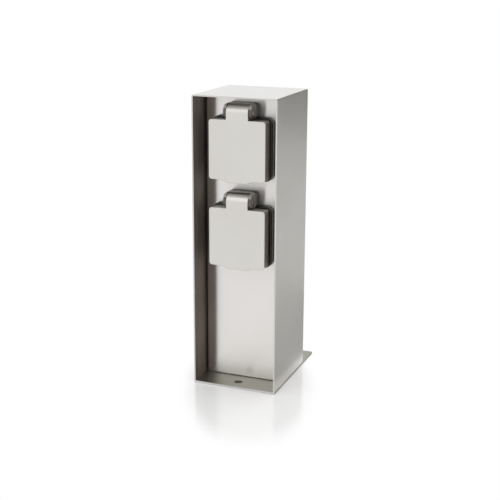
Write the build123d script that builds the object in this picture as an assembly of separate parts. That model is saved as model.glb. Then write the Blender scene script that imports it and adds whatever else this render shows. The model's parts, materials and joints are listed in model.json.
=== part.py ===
"""Outdoor post with two lidded earthed sockets, in a folded stainless steel casing.

Millimetres. X runs to the right seen from the front, Y runs to the back, Z runs up.
The origin is the centre of the base plate's footprint, on the floor.
Socket pieces are drawn round their own centre on the front panel's face, then placed twice.
"""
from build123d import *
import math
import os

# Casing and base
CASING_W = 74.0
CASING_H = 250.0
RECESS = 24.0
REAR_ROOM = 13.3
SHEET = 1.2
CASING_BEND_R = 1.6
BASE_T = 2.0
BASE_TAB = 27.0
BASE_CORNER_R = 1.0
FIX_HOLE_R = 3.5
FIX_HOLE_EDGE = 11.0
REAR_FLANGE_W = 10.0
FOOT_W = 11.0
FOOT_FRONT_Y = -10.0
FOOT_BACK_Y = 20.0
FOOT_SCREW_EDGE = 6.0
FIT = 0.02
GAP = 0.3
CUT = 1.0

# Front panel, a tray folded to the back
PANEL_SIDE_GAP = 0.8
PANEL_LIP = 12.0
PANEL_BEND_R = 1.5
PANEL_CORNER_CUT = 3.0
PANEL_SCREW_X = 22.0
STUD_X = 20.0
STUD_LEN = 9.0

# Rear panel
REAR_SIDE_GAP = 0.5
REAR_EDGE_GAP = 0.6
REAR_SCREW_INSET = 22.0

# Screws and nuts: M4 for the sheet metal, M3.5 and M3 for the sockets
M4_R = 2.0
M4_HEAD_R = 3.8
M4_HEAD_H = 2.4
M4_HEAD_EDGE_R = 0.8
M4_LEN = 8.0
CSK_HEAD_R = 3.7
CSK_HEAD_H = 1.6
NUT_R = 3.5
NUT_H = 2.6
SMALL_NUT_R = 3.0
HOLE_CLEAR = 0.1
TIP_OUT = 2.0
M35_R = 1.75
M35_HEAD_R = 3.4
M35_HEAD_H = 1.9
M35_LEN = 12.0
M3_R = 1.5
M3_HEAD_R = 2.75
M3_HEAD_H = 2.2
TERM_SCREW_R = 1.25
TERM_HEAD_R = 1.9
TERM_HEAD_H = 2.0

# Socket places
SOCKET_PITCH = 73.6
TOP_TO_SOCKET = 44.6

# Socket body: flange, well and hinge housing
GASKET_T = 1.0
FLANGE_W = 53.0
FLANGE_T = 4.8
FLANGE_R = 6.5
FLANGE_EDGE_R = 1.2
WELL_R = 19.75
WELL_DEPTH = 17.5
WELL_WALL = 1.45
WELL_RIM = 3.2
SEAT_STEP = 0.95
POT_WALL = 1.0
CUTOUT_CLEAR = 0.6
RIB_H = 2.4
RIB_W = 4.0
RIB_SETBACK = 1.0
SCREW_PITCH = 38.0

# Lid and hinge
LID_W = 49.6
LID_FRONT = 17.8
LID_PLATE_T = 0.8
LID_INSET = 0.4
LID_CORNER_R = 2.5
LID_WALL = 1.5
LID_FACE_T = 2.0
LIP_HALF_W = 9.0
LIP_RUN = 4.0
LIP_DEPTH = 2.0
LIP_R = 5.0
TAB_W = 19.2
HINGE_RISE = 5.7
ROLL_R = 6.0
ROLL_END_DEG = 100.0
HOUSING_W = 24.4
HOUSING_TOP_T = 1.2
HOUSING_CORNER_R = 2.5
EAR_R = 5.2
TAB_GAP = 0.3
PIN_R = 1.5
PIN_CLEAR = 0.05
PIN_INSET = 0.3
NECK_BACK = 2.0
SEAL_T = 2.7
SEAL_W = 2.2

# Springs
LID_SPRING_R = 2.5
LID_SPRING_WIRE_R = 0.35
LID_SPRING_PITCH = 1.0
LID_SPRING_TURNS = 6.25
LID_SPRING_LEG = 5.0
LID_SPRING_HOOK = 1.3
SHUTTER_SPRING_R = 3.3
SHUTTER_SPRING_WIRE_R = 0.25
SHUTTER_SPRING_PITCH = 0.75
SHUTTER_SPRING_TURNS = 3.25
SHUTTER_SPRING_LEG = 3.5
SHUTTER_SPRING_HOOK = 1.0
SPRING_ROOM = 0.45

# Socket inner pieces
PIN_PITCH = 19.0
PIN_HOLE_R = 2.8
INSERT_FLOOR_T = 2.5
INSERT_RIM_T = 2.0
INSERT_CLEAR = 0.1
INSERT_SKIN = 1.0
SCREW_BOTTOM = 0.5
SHUTTER_R = 13.4
SHUTTER_GAP = 0.2
SHUTTER_RIM_GAP = 0.5
SHUTTER_HOLE_R = 3.1
SHUTTER_DEG = 38.0
BOSS_R = 2.4
CARRIER_L = 15.0
CARRIER_FRONT_T = 1.5
CARRIER_CLEAR = 0.2
SLEEVE_R = 3.2
SLEEVE_BORE_R = 2.35
SLEEVE_L = 10.2
STRIP_HALF_W = 0.8
SLIT_W = 0.8
TERMINAL_SETBACK = 2.0
TERMINAL_CHAMFER = 0.4
HOLE_END_T = 1.0
TERMINAL_HALF = 3.2
TERMINAL_DROP = 11.0
TERMINAL_L = 8.0
CONDUCTOR_R = 0.6
CONDUCTOR_HOLE_R = 0.85
CLIP_W = 6.0
CLIP_T = 0.8
CLIP_WALL_GAP = 0.55
CLIP_BOW = 1.9
CLIP_BOW_L = 4.0
CLIP_SETBACK = 2.5
CLIP_BEND_R = 0.8
CLIP_TERMINAL_L = 4.0
COVER_T = 2.0
COVER_ROOM = 2.5
COVER_SPIGOT = 2.0
COVER_SPIGOT_T = 1.6
COVER_CHAMFER = 0.7
COVER_POST_R = 3.0
COVER_SCREW_X = 13.0
COVER_SCREW_Z = 11.0

# Inner bracket, terminal block, cable entry and wires
BRACKET_T = 1.5
BRACKET_W = 46.0
BRACKET_TOP_ROOM = 10.0
BRACKET_Y = 0.0
BRACKET_FOOT = 15.0
BRACKET_BEND_R = 2.0
BRACKET_SCREW_X = 16.0
BRACKET_SCREW_Y = -8.0
BLOCK_W = 32.0
BLOCK_D = 13.0
BLOCK_H = 18.0
WIRE_DROP = 34.1
BLOCK_CHAMFER = 1.0
BLOCK_SCREW_R = 1.1
BLOCK_HEAD_R = 1.75
BLOCK_HEAD_H = 1.6
POLE_PITCH = 10.0
POLE_SLEEVE_R = 2.9
POLE_BORE_R = 2.2
POLE_SLEEVE_INSET = 1.0
POLE_SCREW_INSET = 4.0
CABLE_Y = 10.5
BUSH_HOLE_R = 7.0
BUSH_FLANGE_R = 8.4
BUSH_FLANGE_T = 2.0
BUSH_BORE_R = 4.5
BUSH_LIFT = 0.2
CLAMP_Z = 12.0
CLAMP_H = 10.0
CLAMP_T = 1.5
CLAMP_R = 4.6
CLAMP_FOOT = 7.0
WIRE_R = 1.35
WIRE_BEND_R = 5.0
WIRE_LEAD = 8.0
WIRE_SPREAD = 1.5
LUG_WIRE_BEND_R = 4.0
LUG_STRIP_LEN = 3.0
RUN_ROOM = 4.8
RUN_PITCH = 4.9
STRIP_LEN = 6.0
STUD_R = 2.5
EARTH_STUD_LEN = 13.0
EARTH_X = -18.2
EARTH_DROP = 8.0
EARTH_NUT_H = 3.0
EARTH_NUT_R = 4.0
LUG_T = 0.8
LUG_R = 4.5
LUG_BARREL_R = 1.9
LUG_BARREL_L = 5.0

# Worked out from the sizes above: depths along Y in a socket's own frame, where 0 is the front panel's face
FLANGE_FRONT = -(GASKET_T + FLANGE_T)
RIM_FRONT = FLANGE_FRONT - WELL_RIM
FLOOR_Y = RIM_FRONT + WELL_DEPTH
CAVITY_Y = FLOOR_Y + INSERT_FLOOR_T
CARRIER_Y = CAVITY_Y + INSERT_RIM_T
CARRIER_END = CARRIER_Y + CARRIER_L
POT_R = WELL_R + WELL_WALL
SEAT_R = WELL_R + SEAT_STEP
BODY_R = SEAT_R + POT_WALL
PIN_X = PIN_PITCH / 2
LID_BACK = FLANGE_FRONT - LID_INSET
LID_BODY_FRONT = -LID_FRONT + LID_PLATE_T
LID_INNER_FRONT = LID_BODY_FRONT + LID_FACE_T
LID_BODY_W = LID_W - 2 * LID_INSET
HINGE_Y = -LID_FRONT + ROLL_R
HINGE_Z = LID_W / 2 + HINGE_RISE
HOUSING_ROOM_R = ROLL_R + TAB_GAP
HOUSING_TOP = HINGE_Z + HOUSING_ROOM_R + HOUSING_TOP_T
KNUCKLE_R = ROLL_R - LID_PLATE_T - PIN_CLEAR
SPRING_X0 = -TAB_W / 2 + LID_SPRING_WIRE_R + GAP
SPRING_X1 = SPRING_X0 + LID_SPRING_PITCH * LID_SPRING_TURNS
SPRING_POCKET_R = LID_SPRING_R + LID_SPRING_WIRE_R + SPRING_ROOM
SHUTTER_SPRING_HALF = SHUTTER_SPRING_PITCH * SHUTTER_SPRING_TURNS / 2
SHUTTER_SPRING_ROOM = 2 * (SHUTTER_SPRING_HALF + SHUTTER_SPRING_WIRE_R) + GAP
SEAL_BACK = RIM_FRONT - GAP
SEAL_FRONT = SEAL_BACK - SEAL_T
SEAL_R = POT_R
SLEEVE_Y = CARRIER_Y + CARRIER_FRONT_T + GAP
TERMINAL_Y = SLEEVE_Y + TERMINAL_SETBACK
TERMINAL_END = TERMINAL_Y + TERMINAL_L
TERMINAL_MID = TERMINAL_Y + TERMINAL_L / 2
CLIP_Z = WELL_R - CLIP_WALL_GAP - CLIP_T / 2
CLIP_BACK = CARRIER_END + CARRIER_CLEAR + CLIP_T / 2
CLIP_TERMINAL_Y = CLIP_BACK + CLIP_T / 2
COVER_Y = CLIP_TERMINAL_Y + CLIP_TERMINAL_L + COVER_ROOM
COVER_END = COVER_Y + COVER_T
TERM_SCREW_TIP = CONDUCTOR_R + GAP

# Places in the whole post's frame
CASING_D = RECESS + COVER_END + M3_HEAD_H + REAR_ROOM
BASE_D = CASING_D + BASE_TAB
FRONT_Y = -BASE_D / 2
BACK_Y = BASE_D / 2
CASING_BACK_Y = FRONT_Y + CASING_D
FLANGE_BACK_Y = CASING_BACK_Y - SHEET
INNER_X = CASING_W / 2 - SHEET
ROOF_Z = CASING_H - SHEET
PANEL_Y = FRONT_Y + RECESS
PANEL_BACK_Y = PANEL_Y + PANEL_LIP
PANEL_HALF_W = INNER_X - PANEL_SIDE_GAP
REAR_SCREW_X = INNER_X - REAR_FLANGE_W / 2
SOCKET_Z = {"upper": CASING_H - TOP_TO_SOCKET, "lower": CASING_H - TOP_TO_SOCKET - SOCKET_PITCH}
LOWER_RUN_Y = PANEL_Y + COVER_END + M3_HEAD_H + RUN_ROOM
RUN_Y = {"upper": LOWER_RUN_Y + RUN_PITCH, "lower": LOWER_RUN_Y}
BRACKET_BACK_Y = BRACKET_Y + BRACKET_T
BLOCK_Z = SOCKET_Z["lower"] - BODY_R - WIRE_DROP - BLOCK_H
BRACKET_H = BLOCK_Z + BLOCK_H + BRACKET_TOP_ROOM - BASE_T
EARTH_Z = BLOCK_Z - EARTH_DROP
POLE_Y = BRACKET_BACK_Y + BLOCK_D / 2


def block(x0, x1, y0, y1, z0, z1):
    """A box between two corners."""
    return Pos((x0 + x1) / 2, (y0 + y1) / 2, (z0 + z1) / 2) * Box(x1 - x0, y1 - y0, z1 - z0)


def rod_x(y, z, x0, x1, r):
    """A round bar along X."""
    return Pos((x0 + x1) / 2, y, z) * Rot(0, 90, 0) * Cylinder(r, x1 - x0)


def rod_y(x, z, y0, y1, r):
    """A round bar along Y."""
    return Pos(x, (y0 + y1) / 2, z) * Rot(90, 0, 0) * Cylinder(r, y1 - y0)


def rod_z(x, y, z0, z1, r):
    """A round bar along Z."""
    return Pos(x, y, (z0 + z1) / 2) * Cylinder(r, z1 - z0)


def cone_y(x, z, y0, y1, r0, r1):
    """A cone along Y, of radius r0 at y0 and r1 at y1."""
    return Pos(x, (y0 + y1) / 2, z) * Rot(-90, 0, 0) * Cone(r0, r1, y1 - y0)


def cone_z(x, y, z0, z1, r0, r1):
    """A cone along Z, of radius r0 at z0 and r1 at z1."""
    return Pos(x, y, (z0 + z1) / 2) * Cone(r0, r1, z1 - z0)


def slab(sketch, y0, y1):
    """A sketch drawn in X and Z, made solid from y0 to y1."""
    front_view = Plane(origin=(0, y1, 0), x_dir=(1, 0, 0), z_dir=(0, -1, 0))
    return extrude(front_view * sketch, y1 - y0)


def side_slab(points_and_curves, x0, x1):
    """A closed outline drawn in Y and Z, made solid from x0 to x1."""
    return Pos(x0, 0, 0) * extrude(make_face(points_and_curves), x1 - x0, dir=(1, 0, 0))


def whole(shape):
    """One compound of a list of separate solids."""
    return Compound(children=[s for part in shape for s in part.solids()])


def save(name, shape):
    """Write one sub-part."""
    export_step(shape, f"parts/{name}.step")


def base_screw_places():
    """Where the eight countersunk screws come up through the base plate, with the nut's height."""
    on_foot = BASE_T + SHEET
    foot_x = INNER_X - FOOT_W / 2
    places = [(side * foot_x, y, on_foot) for side in (-1, 1) for y in foot_screw_ys()]
    places += [(side * PANEL_SCREW_X, PANEL_Y + PANEL_LIP / 2, on_foot) for side in (-1, 1)]
    places += [(side * BRACKET_SCREW_X, BRACKET_SCREW_Y, BASE_T + BRACKET_T) for side in (-1, 1)]
    return places


def foot_screw_ys():
    """The two screw rows of a casing foot."""
    return (FOOT_FRONT_Y + FOOT_SCREW_EDGE, FOOT_BACK_Y - FOOT_SCREW_EDGE)


def rear_screw_places():
    """Where the six rear panel screws sit, in X and Z."""
    zs = (BASE_T + REAR_SCREW_INSET, (BASE_T + CASING_H) / 2, CASING_H - REAR_SCREW_INSET)
    return [(side * REAR_SCREW_X, z) for side in (-1, 1) for z in zs]


def socket_screw_places():
    """Where a socket's four fixing screws sit, in X and Z."""
    half = SCREW_PITCH / 2
    return [(sx * half, sz * half) for sx in (-1, 1) for sz in (-1, 1)]


def base_plate():
    """Flat plate under the casing, with a tab that stands out at the back."""
    plate = block(-CASING_W / 2, CASING_W / 2, FRONT_Y, BACK_Y, 0, BASE_T)
    plate = fillet(plate.edges().filter_by(Axis.Z), BASE_CORNER_R)
    for y in (FRONT_Y + FIX_HOLE_EDGE, BACK_Y - FIX_HOLE_EDGE):
        plate -= rod_z(0, y, -CUT, BASE_T + CUT, FIX_HOLE_R)
    plate -= rod_z(0, CABLE_Y, -CUT, BASE_T + CUT, BUSH_HOLE_R)
    for x, y, _ in base_screw_places():
        plate -= rod_z(x, y, -CUT, BASE_T + CUT, M4_R + HOLE_CLEAR)
        plate -= cone_z(x, y, 0, CSK_HEAD_H + HOLE_CLEAR, CSK_HEAD_R + HOLE_CLEAR, M4_R + HOLE_CLEAR)
    return plate


def outer_casing():
    """Folded sheet: left wall, roof and right wall, with back flanges, feet and two studs under the roof."""
    tall = CASING_H - BASE_T
    mid = BASE_T + tall / 2
    outer = Pos(0, mid) * Rectangle(CASING_W, tall)
    outer = fillet(outer.vertices().sort_by(Axis.Y)[-2:], CASING_BEND_R)
    inner = Pos(0, mid - SHEET) * Rectangle(2 * INNER_X, tall)
    inner = fillet(inner.vertices().sort_by(Axis.Y)[-2:], CASING_BEND_R - SHEET)
    casing = slab(outer - inner, FRONT_Y, FLANGE_BACK_Y)
    back0 = FLANGE_BACK_Y - SHEET
    casing += block(-INNER_X, INNER_X, back0, FLANGE_BACK_Y, ROOF_Z - REAR_FLANGE_W, ROOF_Z)
    for side in (-1, 1):
        wall, rim = side * INNER_X, side * (INNER_X - REAR_FLANGE_W)
        casing += block(min(wall, rim), max(wall, rim), back0, FLANGE_BACK_Y, BASE_T, ROOF_Z)
        toe = side * (INNER_X - FOOT_W)
        casing += block(min(wall, toe), max(wall, toe), FOOT_FRONT_Y, FOOT_BACK_Y, BASE_T, BASE_T + SHEET)
        casing += rod_z(side * STUD_X, PANEL_Y + PANEL_LIP / 2, ROOF_Z - STUD_LEN, ROOF_Z + SHEET / 2, M4_R)
    for x, y, _ in base_screw_places():
        casing -= rod_z(x, y, BASE_T - CUT, BASE_T + SHEET + CUT, M4_R + HOLE_CLEAR)
    for x, z in rear_screw_places():
        casing -= rod_y(x, z, back0 - CUT, FLANGE_BACK_Y + CUT, M4_R + HOLE_CLEAR)
    return casing


def panel_tray():
    """Panel with its four sides folded back, and a round cut-out and four holes for each socket."""
    tray = block(-PANEL_HALF_W, PANEL_HALF_W, PANEL_Y, PANEL_BACK_Y, BASE_T, ROOF_Z)
    tray = fillet(tray.faces().sort_by(Axis.Y)[0].edges(), PANEL_BEND_R)
    inside = PANEL_HALF_W - SHEET
    hollow = block(-inside, inside, PANEL_Y + SHEET, PANEL_BACK_Y + CUT, BASE_T + SHEET, ROOF_Z - SHEET)
    tray -= fillet(hollow.faces().sort_by(Axis.Y)[0].edges(), PANEL_BEND_R - SHEET)
    for z in SOCKET_Z.values():
        tray -= rod_y(0, z, PANEL_Y - CUT, PANEL_Y + SHEET + CUT, BODY_R + CUTOUT_CLEAR)
        for dx, dz in socket_screw_places():
            tray -= rod_y(dx, z + dz, PANEL_Y - CUT, PANEL_Y + SHEET + CUT, M35_R + HOLE_CLEAR)
    for side in (-1, 1):
        mid_y = PANEL_Y + PANEL_LIP / 2
        tray -= rod_z(side * PANEL_SCREW_X, mid_y, BASE_T - CUT, BASE_T + SHEET + CUT, M4_R + HOLE_CLEAR)
        tray -= rod_z(side * STUD_X, mid_y, ROOF_Z - SHEET - CUT, ROOF_Z + CUT, M4_R + HOLE_CLEAR)
    return tray


def front_panel():
    """The panel's face, up to the end of its bends."""
    return panel_tray() & block(-PANEL_HALF_W, PANEL_HALF_W, PANEL_Y, PANEL_Y + PANEL_BEND_R, BASE_T, ROOF_Z)


def panel_folds():
    """The panel's four folded sides behind the bends, cut free of each other at the corners.

    They are pieces of their own, so that each stays a flat strip round the open space behind the face.
    """
    y0 = PANEL_Y + PANEL_BEND_R
    folds = panel_tray() & block(-PANEL_HALF_W, PANEL_HALF_W, y0, PANEL_BACK_Y, BASE_T, ROOF_Z)
    for side in (-1, 1):
        x0, x1 = sorted((side * (PANEL_HALF_W + CUT), side * (PANEL_HALF_W - PANEL_CORNER_CUT)))
        folds -= block(x0, x1, y0 - CUT, PANEL_BACK_Y + CUT, BASE_T - CUT, BASE_T + PANEL_CORNER_CUT)
        folds -= block(x0, x1, y0 - CUT, PANEL_BACK_Y + CUT, ROOF_Z - PANEL_CORNER_CUT, ROOF_Z + CUT)
    return folds


def rear_panel():
    """Flat cover screwed on the casing's back flanges."""
    half = CASING_W / 2 - REAR_SIDE_GAP
    panel = block(-half, half, FLANGE_BACK_Y, CASING_BACK_Y, BASE_T + REAR_EDGE_GAP, CASING_H - REAR_EDGE_GAP)
    for x, z in rear_screw_places():
        panel -= rod_y(x, z, FLANGE_BACK_Y - CUT, CASING_BACK_Y + CUT, M4_R + HOLE_CLEAR)
    return panel


def base_screws():
    """Countersunk screws, flush with the base plate's underside."""
    screws = []
    for x, y, _ in base_screw_places():
        head = cone_z(x, y, HOLE_CLEAR, CSK_HEAD_H, CSK_HEAD_R, M4_R)
        screws.append(head + rod_z(x, y, CSK_HEAD_H - FIT, M4_LEN, M4_R))
    return whole(screws)


def press_nuts():
    """Press-in nuts over the base screws and on the inside of the casing's back flanges."""
    y1 = FLANGE_BACK_Y - SHEET
    y0 = y1 - NUT_H
    nuts = [rod_z(x, y, z, z + NUT_H, NUT_R) - rod_z(x, y, z - CUT, z + NUT_H + CUT, M4_R + FIT)
            for x, y, z in base_screw_places()]
    nuts += [rod_y(x, z, y0, y1, NUT_R) - rod_y(x, z, y0 - CUT, y1 + CUT, M4_R + FIT)
             for x, z in rear_screw_places()]
    return whole(nuts)


def hex_nut(r_flat, height):
    """A hexagon nut's outline, along Z, standing on Z = 0."""
    return extrude(RegularPolygon(r_flat, 6, major_radius=False), height)


def panel_nuts():
    """Nuts on the roof studs, under the panel's upper lip."""
    y = PANEL_Y + PANEL_LIP / 2
    z = ROOF_Z - SHEET - NUT_H
    nuts = [Pos(side * STUD_X, y, z) * hex_nut(NUT_R, NUT_H) for side in (-1, 1)]
    return whole([n - rod_z(side * STUD_X, y, z - CUT, z + NUT_H + CUT, M4_R + FIT)
                  for n, side in zip(nuts, (-1, 1))])


def rear_screws():
    """Pan head screws through the rear panel."""
    screws = []
    for x, z in rear_screw_places():
        head = rod_y(x, z, CASING_BACK_Y, CASING_BACK_Y + M4_HEAD_H, M4_HEAD_R)
        head = fillet(head.edges().sort_by(Axis.Y)[-1], M4_HEAD_EDGE_R)
        screws.append(head + rod_y(x, z, CASING_BACK_Y - M4_LEN, CASING_BACK_Y, M4_R))
    return whole(screws)


def cable_bush():
    """Rubber bush in the base plate's cable hole, its underside a little above the floor."""
    top = BASE_T + BUSH_FLANGE_T
    bush = rod_z(0, CABLE_Y, BUSH_LIFT, BASE_T, BUSH_HOLE_R - FIT)
    bush += rod_z(0, CABLE_Y, BASE_T, top, BUSH_FLANGE_R)
    return bush - rod_z(0, CABLE_Y, -CUT, top + CUT, BUSH_BORE_R)


def mounting_bracket():
    """Angle bracket on the base plate for the cable clamp and terminal block, with a welded earth stud."""
    half = BRACKET_W / 2
    front = BRACKET_BACK_Y - BRACKET_FOOT
    leg = block(-half, half, front, BRACKET_BACK_Y, BASE_T, BASE_T + BRACKET_H)
    leg = fillet(leg.edges().filter_by(Axis.X).sort_by(Axis.Z)[:2].sort_by(Axis.Y)[-1], BRACKET_BEND_R)
    space = block(-half - CUT, half + CUT, front - CUT, BRACKET_Y, BASE_T + BRACKET_T, BASE_T + BRACKET_H + CUT)
    leg -= fillet(space.edges().filter_by(Axis.X).sort_by(Axis.Z)[:2].sort_by(Axis.Y)[-1],
                  BRACKET_BEND_R - BRACKET_T)
    for side in (-1, 1):
        top = BASE_T + BRACKET_T + CUT
        leg -= rod_z(side * BRACKET_SCREW_X, BRACKET_SCREW_Y, BASE_T - CUT, top, M4_R + HOLE_CLEAR)
        y0, y1 = BRACKET_Y - CUT, BRACKET_BACK_Y + CUT
        leg -= rod_y(side * POLE_PITCH / 2, BLOCK_Z + BLOCK_H / 2, y0, y1, BLOCK_SCREW_R + FIT)
        leg -= rod_y(side * clamp_screw_x(), CLAMP_Z + CLAMP_H / 2, y0, y1, M35_R + FIT)
    return leg + rod_y(EARTH_X, EARTH_Z, BRACKET_Y, BRACKET_BACK_Y + EARTH_STUD_LEN, STUD_R)


def clamp_screw_x():
    """Half the distance between the clamp's screws."""
    return CLAMP_R + CLAMP_T + CLAMP_FOOT / 2


def cable_clamp():
    """Saddle that holds the supply cable's jacket against the bracket."""
    y0 = BRACKET_BACK_Y
    axis = y0 + CLAMP_R
    z1 = CLAMP_Z + CLAMP_H
    outer_r = CLAMP_R + CLAMP_T
    saddle = rod_z(0, axis, CLAMP_Z, z1, outer_r) + block(-outer_r, outer_r, y0, axis, CLAMP_Z, z1)
    reach = outer_r + CLAMP_FOOT
    saddle += block(-reach, reach, y0, y0 + CLAMP_T, CLAMP_Z, z1)
    saddle -= rod_z(0, axis, CLAMP_Z - CUT, z1 + CUT, CLAMP_R)
    saddle -= block(-CLAMP_R, CLAMP_R, y0 - CUT, axis, CLAMP_Z - CUT, z1 + CUT)
    saddle -= block(-reach - CUT, reach + CUT, y0 - outer_r, y0, CLAMP_Z - CUT, z1 + CUT)
    for side in (-1, 1):
        x = side * clamp_screw_x()
        saddle -= rod_y(x, CLAMP_Z + CLAMP_H / 2, y0 - CUT, y0 + CLAMP_T + CUT, M35_R + HOLE_CLEAR)
    return saddle


def clamp_screws():
    """Two screws of the cable clamp."""
    y = BRACKET_BACK_Y + CLAMP_T
    z = CLAMP_Z + CLAMP_H / 2
    return whole([rod_y(side * clamp_screw_x(), z, y, y + M3_HEAD_H, M35_HEAD_R)
                  + rod_y(side * clamp_screw_x(), z, BRACKET_Y - TIP_OUT, y, M35_R) for side in (-1, 1)])


def pole_xs():
    """The terminal block's live, earth and neutral poles, from left to right."""
    return (-POLE_PITCH, 0, POLE_PITCH)


def pole_screw_zs():
    """The two screw rows of the terminal block."""
    return (BLOCK_Z + POLE_SCREW_INSET, BLOCK_Z + BLOCK_H - POLE_SCREW_INSET)


def terminal_block():
    """Three pole screw terminal, open to the cable below and to the sockets above."""
    back = BRACKET_BACK_Y + BLOCK_D
    body = block(-BLOCK_W / 2, BLOCK_W / 2, BRACKET_BACK_Y, back, BLOCK_Z, BLOCK_Z + BLOCK_H)
    body = chamfer(body.edges().filter_by(Axis.Z).sort_by(Axis.Y)[-2:], BLOCK_CHAMFER)
    for x in pole_xs():
        body -= rod_z(x, POLE_Y, BLOCK_Z - CUT, BLOCK_Z + BLOCK_H + CUT, POLE_SLEEVE_R + FIT)
        for z in pole_screw_zs():
            body -= rod_y(x, z, POLE_Y, back + CUT, TERM_HEAD_R + HOLE_CLEAR)
    for side in (-1, 1):
        z = BLOCK_Z + BLOCK_H / 2
        body -= rod_y(side * POLE_PITCH / 2, z, BRACKET_BACK_Y - CUT, back + CUT, BLOCK_SCREW_R + HOLE_CLEAR)
        body -= rod_y(side * POLE_PITCH / 2, z, back - BLOCK_HEAD_H, back + CUT, BLOCK_HEAD_R + HOLE_CLEAR)
    return body


def terminal_sleeves():
    """Brass tubes inside the terminal block."""
    sleeves = []
    for x in pole_xs():
        low, high = BLOCK_Z + POLE_SLEEVE_INSET, BLOCK_Z + BLOCK_H - POLE_SLEEVE_INSET
        tube = rod_z(x, POLE_Y, low, high, POLE_SLEEVE_R) - rod_z(x, POLE_Y, low - CUT, high + CUT, POLE_BORE_R)
        for z in pole_screw_zs():
            tube -= rod_y(x, z, POLE_Y, POLE_Y + POLE_SLEEVE_R + CUT, TERM_SCREW_R + FIT)
        sleeves.append(tube)
    return whole(sleeves)


def terminal_screws():
    """Clamping screws of the terminal block, two to a pole."""
    tip = POLE_Y + CONDUCTOR_R + GAP
    neck = POLE_Y + POLE_SLEEVE_R + GAP
    screws = []
    for x in pole_xs():
        for z in pole_screw_zs():
            head = rod_y(x, z, neck, neck + TERM_HEAD_H, TERM_HEAD_R)
            screws.append(head + rod_y(x, z, tip, neck, TERM_SCREW_R))
    return whole(screws)


def block_screws():
    """Two screws that hold the terminal block on its bracket."""
    z = BLOCK_Z + BLOCK_H / 2
    y1 = BRACKET_BACK_Y + BLOCK_D
    neck = y1 - BLOCK_HEAD_H
    return whole([rod_y(side * POLE_PITCH / 2, z, BRACKET_Y - TIP_OUT, neck, BLOCK_SCREW_R)
                  + rod_y(side * POLE_PITCH / 2, z, neck, y1 - HOLE_CLEAR, BLOCK_HEAD_R) for side in (-1, 1)])


def earth_nuts():
    """Two nuts that hold the earth lug between them."""
    nuts = []
    for y in (BRACKET_BACK_Y, BRACKET_BACK_Y + EARTH_NUT_H + LUG_T):
        nut = Pos(EARTH_X, y + EARTH_NUT_H, EARTH_Z) * Rot(90, 0, 0) * hex_nut(EARTH_NUT_R, EARTH_NUT_H)
        nuts.append(nut - rod_y(EARTH_X, EARTH_Z, y - CUT, y + EARTH_NUT_H + CUT, STUD_R + FIT))
    return whole(nuts)


def earth_lug():
    """Ring terminal on the stud, with a crimped barrel for the wire."""
    y0 = BRACKET_BACK_Y + EARTH_NUT_H
    ring = rod_y(EARTH_X, EARTH_Z, y0, y0 + LUG_T, LUG_R)
    barrel_x = lug_barrel_x()
    end_x = barrel_x + LUG_BARREL_L
    neck = block(EARTH_X, end_x, y0, y0 + LUG_T, EARTH_Z - LUG_BARREL_R, EARTH_Z + LUG_BARREL_R)
    lug = ring + neck + rod_x(y0 + LUG_BARREL_R, EARTH_Z, barrel_x, end_x, LUG_BARREL_R)
    lug -= rod_x(y0 + LUG_BARREL_R, EARTH_Z, barrel_x + HOLE_END_T, end_x + CUT, CONDUCTOR_R + FIT)
    return lug - rod_y(EARTH_X, EARTH_Z, y0 - CUT, y0 + LUG_T + CUT, STUD_R + FIT)


def lug_barrel_x():
    """Where the lug's barrel begins, clear of the corners of the nuts."""
    return EARTH_X + EARTH_NUT_R / math.cos(math.radians(30)) + GAP


def tube(points, bend_r, r):
    """A round wire along straight runs joined by arcs."""
    path = FilletPolyline(*points, radius=bend_r)
    start = Plane(origin=path @ 0, z_dir=path % 0)
    return sweep(start * Circle(r), path=path)


def casing_earth_wire():
    """Earth wire from the terminal block's earth pole to the lug."""
    lug_end = lug_barrel_x() + LUG_BARREL_L
    lug_y = BRACKET_BACK_Y + EARTH_NUT_H + LUG_BARREL_R
    bottom = BLOCK_Z - GAP
    points = [(lug_end + 2 * GAP, lug_y, EARTH_Z), (WIRE_SPREAD, POLE_Y, EARTH_Z), (WIRE_SPREAD, POLE_Y, bottom)]
    wire = tube(points, LUG_WIRE_BEND_R, WIRE_R)
    wire += rod_z(WIRE_SPREAD, POLE_Y, bottom, bottom + STRIP_LEN, CONDUCTOR_R)
    return wire + rod_x(lug_y, EARTH_Z, lug_end - LUG_STRIP_LEN, lug_end + CUT, CONDUCTOR_R)


def socket_wire(which, x, start_y, strip_len):
    """One wire from a socket's terminal, back through its cover, and down into the terminal block."""
    z = SOCKET_Z[which] - TERMINAL_DROP
    run_y = RUN_Y[which]
    start = PANEL_Y + start_y
    side = (x > 0) - (x < 0)
    outward = WIRE_SPREAD if which == "upper" else -WIRE_SPREAD
    end_x = side * (POLE_PITCH + outward) if side else -outward
    top = BLOCK_Z + BLOCK_H + GAP
    points = [(x, start, z), (x, run_y, z)]
    if which == "upper":
        points += [(end_x, run_y, SOCKET_Z["lower"]), (end_x, run_y, SOCKET_Z["lower"] - TERMINAL_DROP)]
    points += [(end_x, POLE_Y, top + WIRE_LEAD), (end_x, POLE_Y, top)]
    wire = tube(points, WIRE_BEND_R, WIRE_R) + rod_z(end_x, POLE_Y, top - STRIP_LEN, top, CONDUCTOR_R)
    return wire + rod_y(x, z, start - strip_len, start, CONDUCTOR_R)


def socket_wires(which):
    """A socket's live, neutral and earth wires."""
    start = TERMINAL_END + GAP
    earth_start = CLIP_TERMINAL_Y + CLIP_TERMINAL_L + GAP
    return whole([socket_wire(which, -PIN_X, start, STRIP_LEN), socket_wire(which, PIN_X, start, STRIP_LEN),
                  socket_wire(which, 0, earth_start, CLIP_TERMINAL_L)])


def mounting_outline():
    """Front view of the flange, with the tongue that backs the hinge housing."""
    square = RectangleRounded(FLANGE_W, FLANGE_W, FLANGE_R)
    return square + housing_outline()


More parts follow.
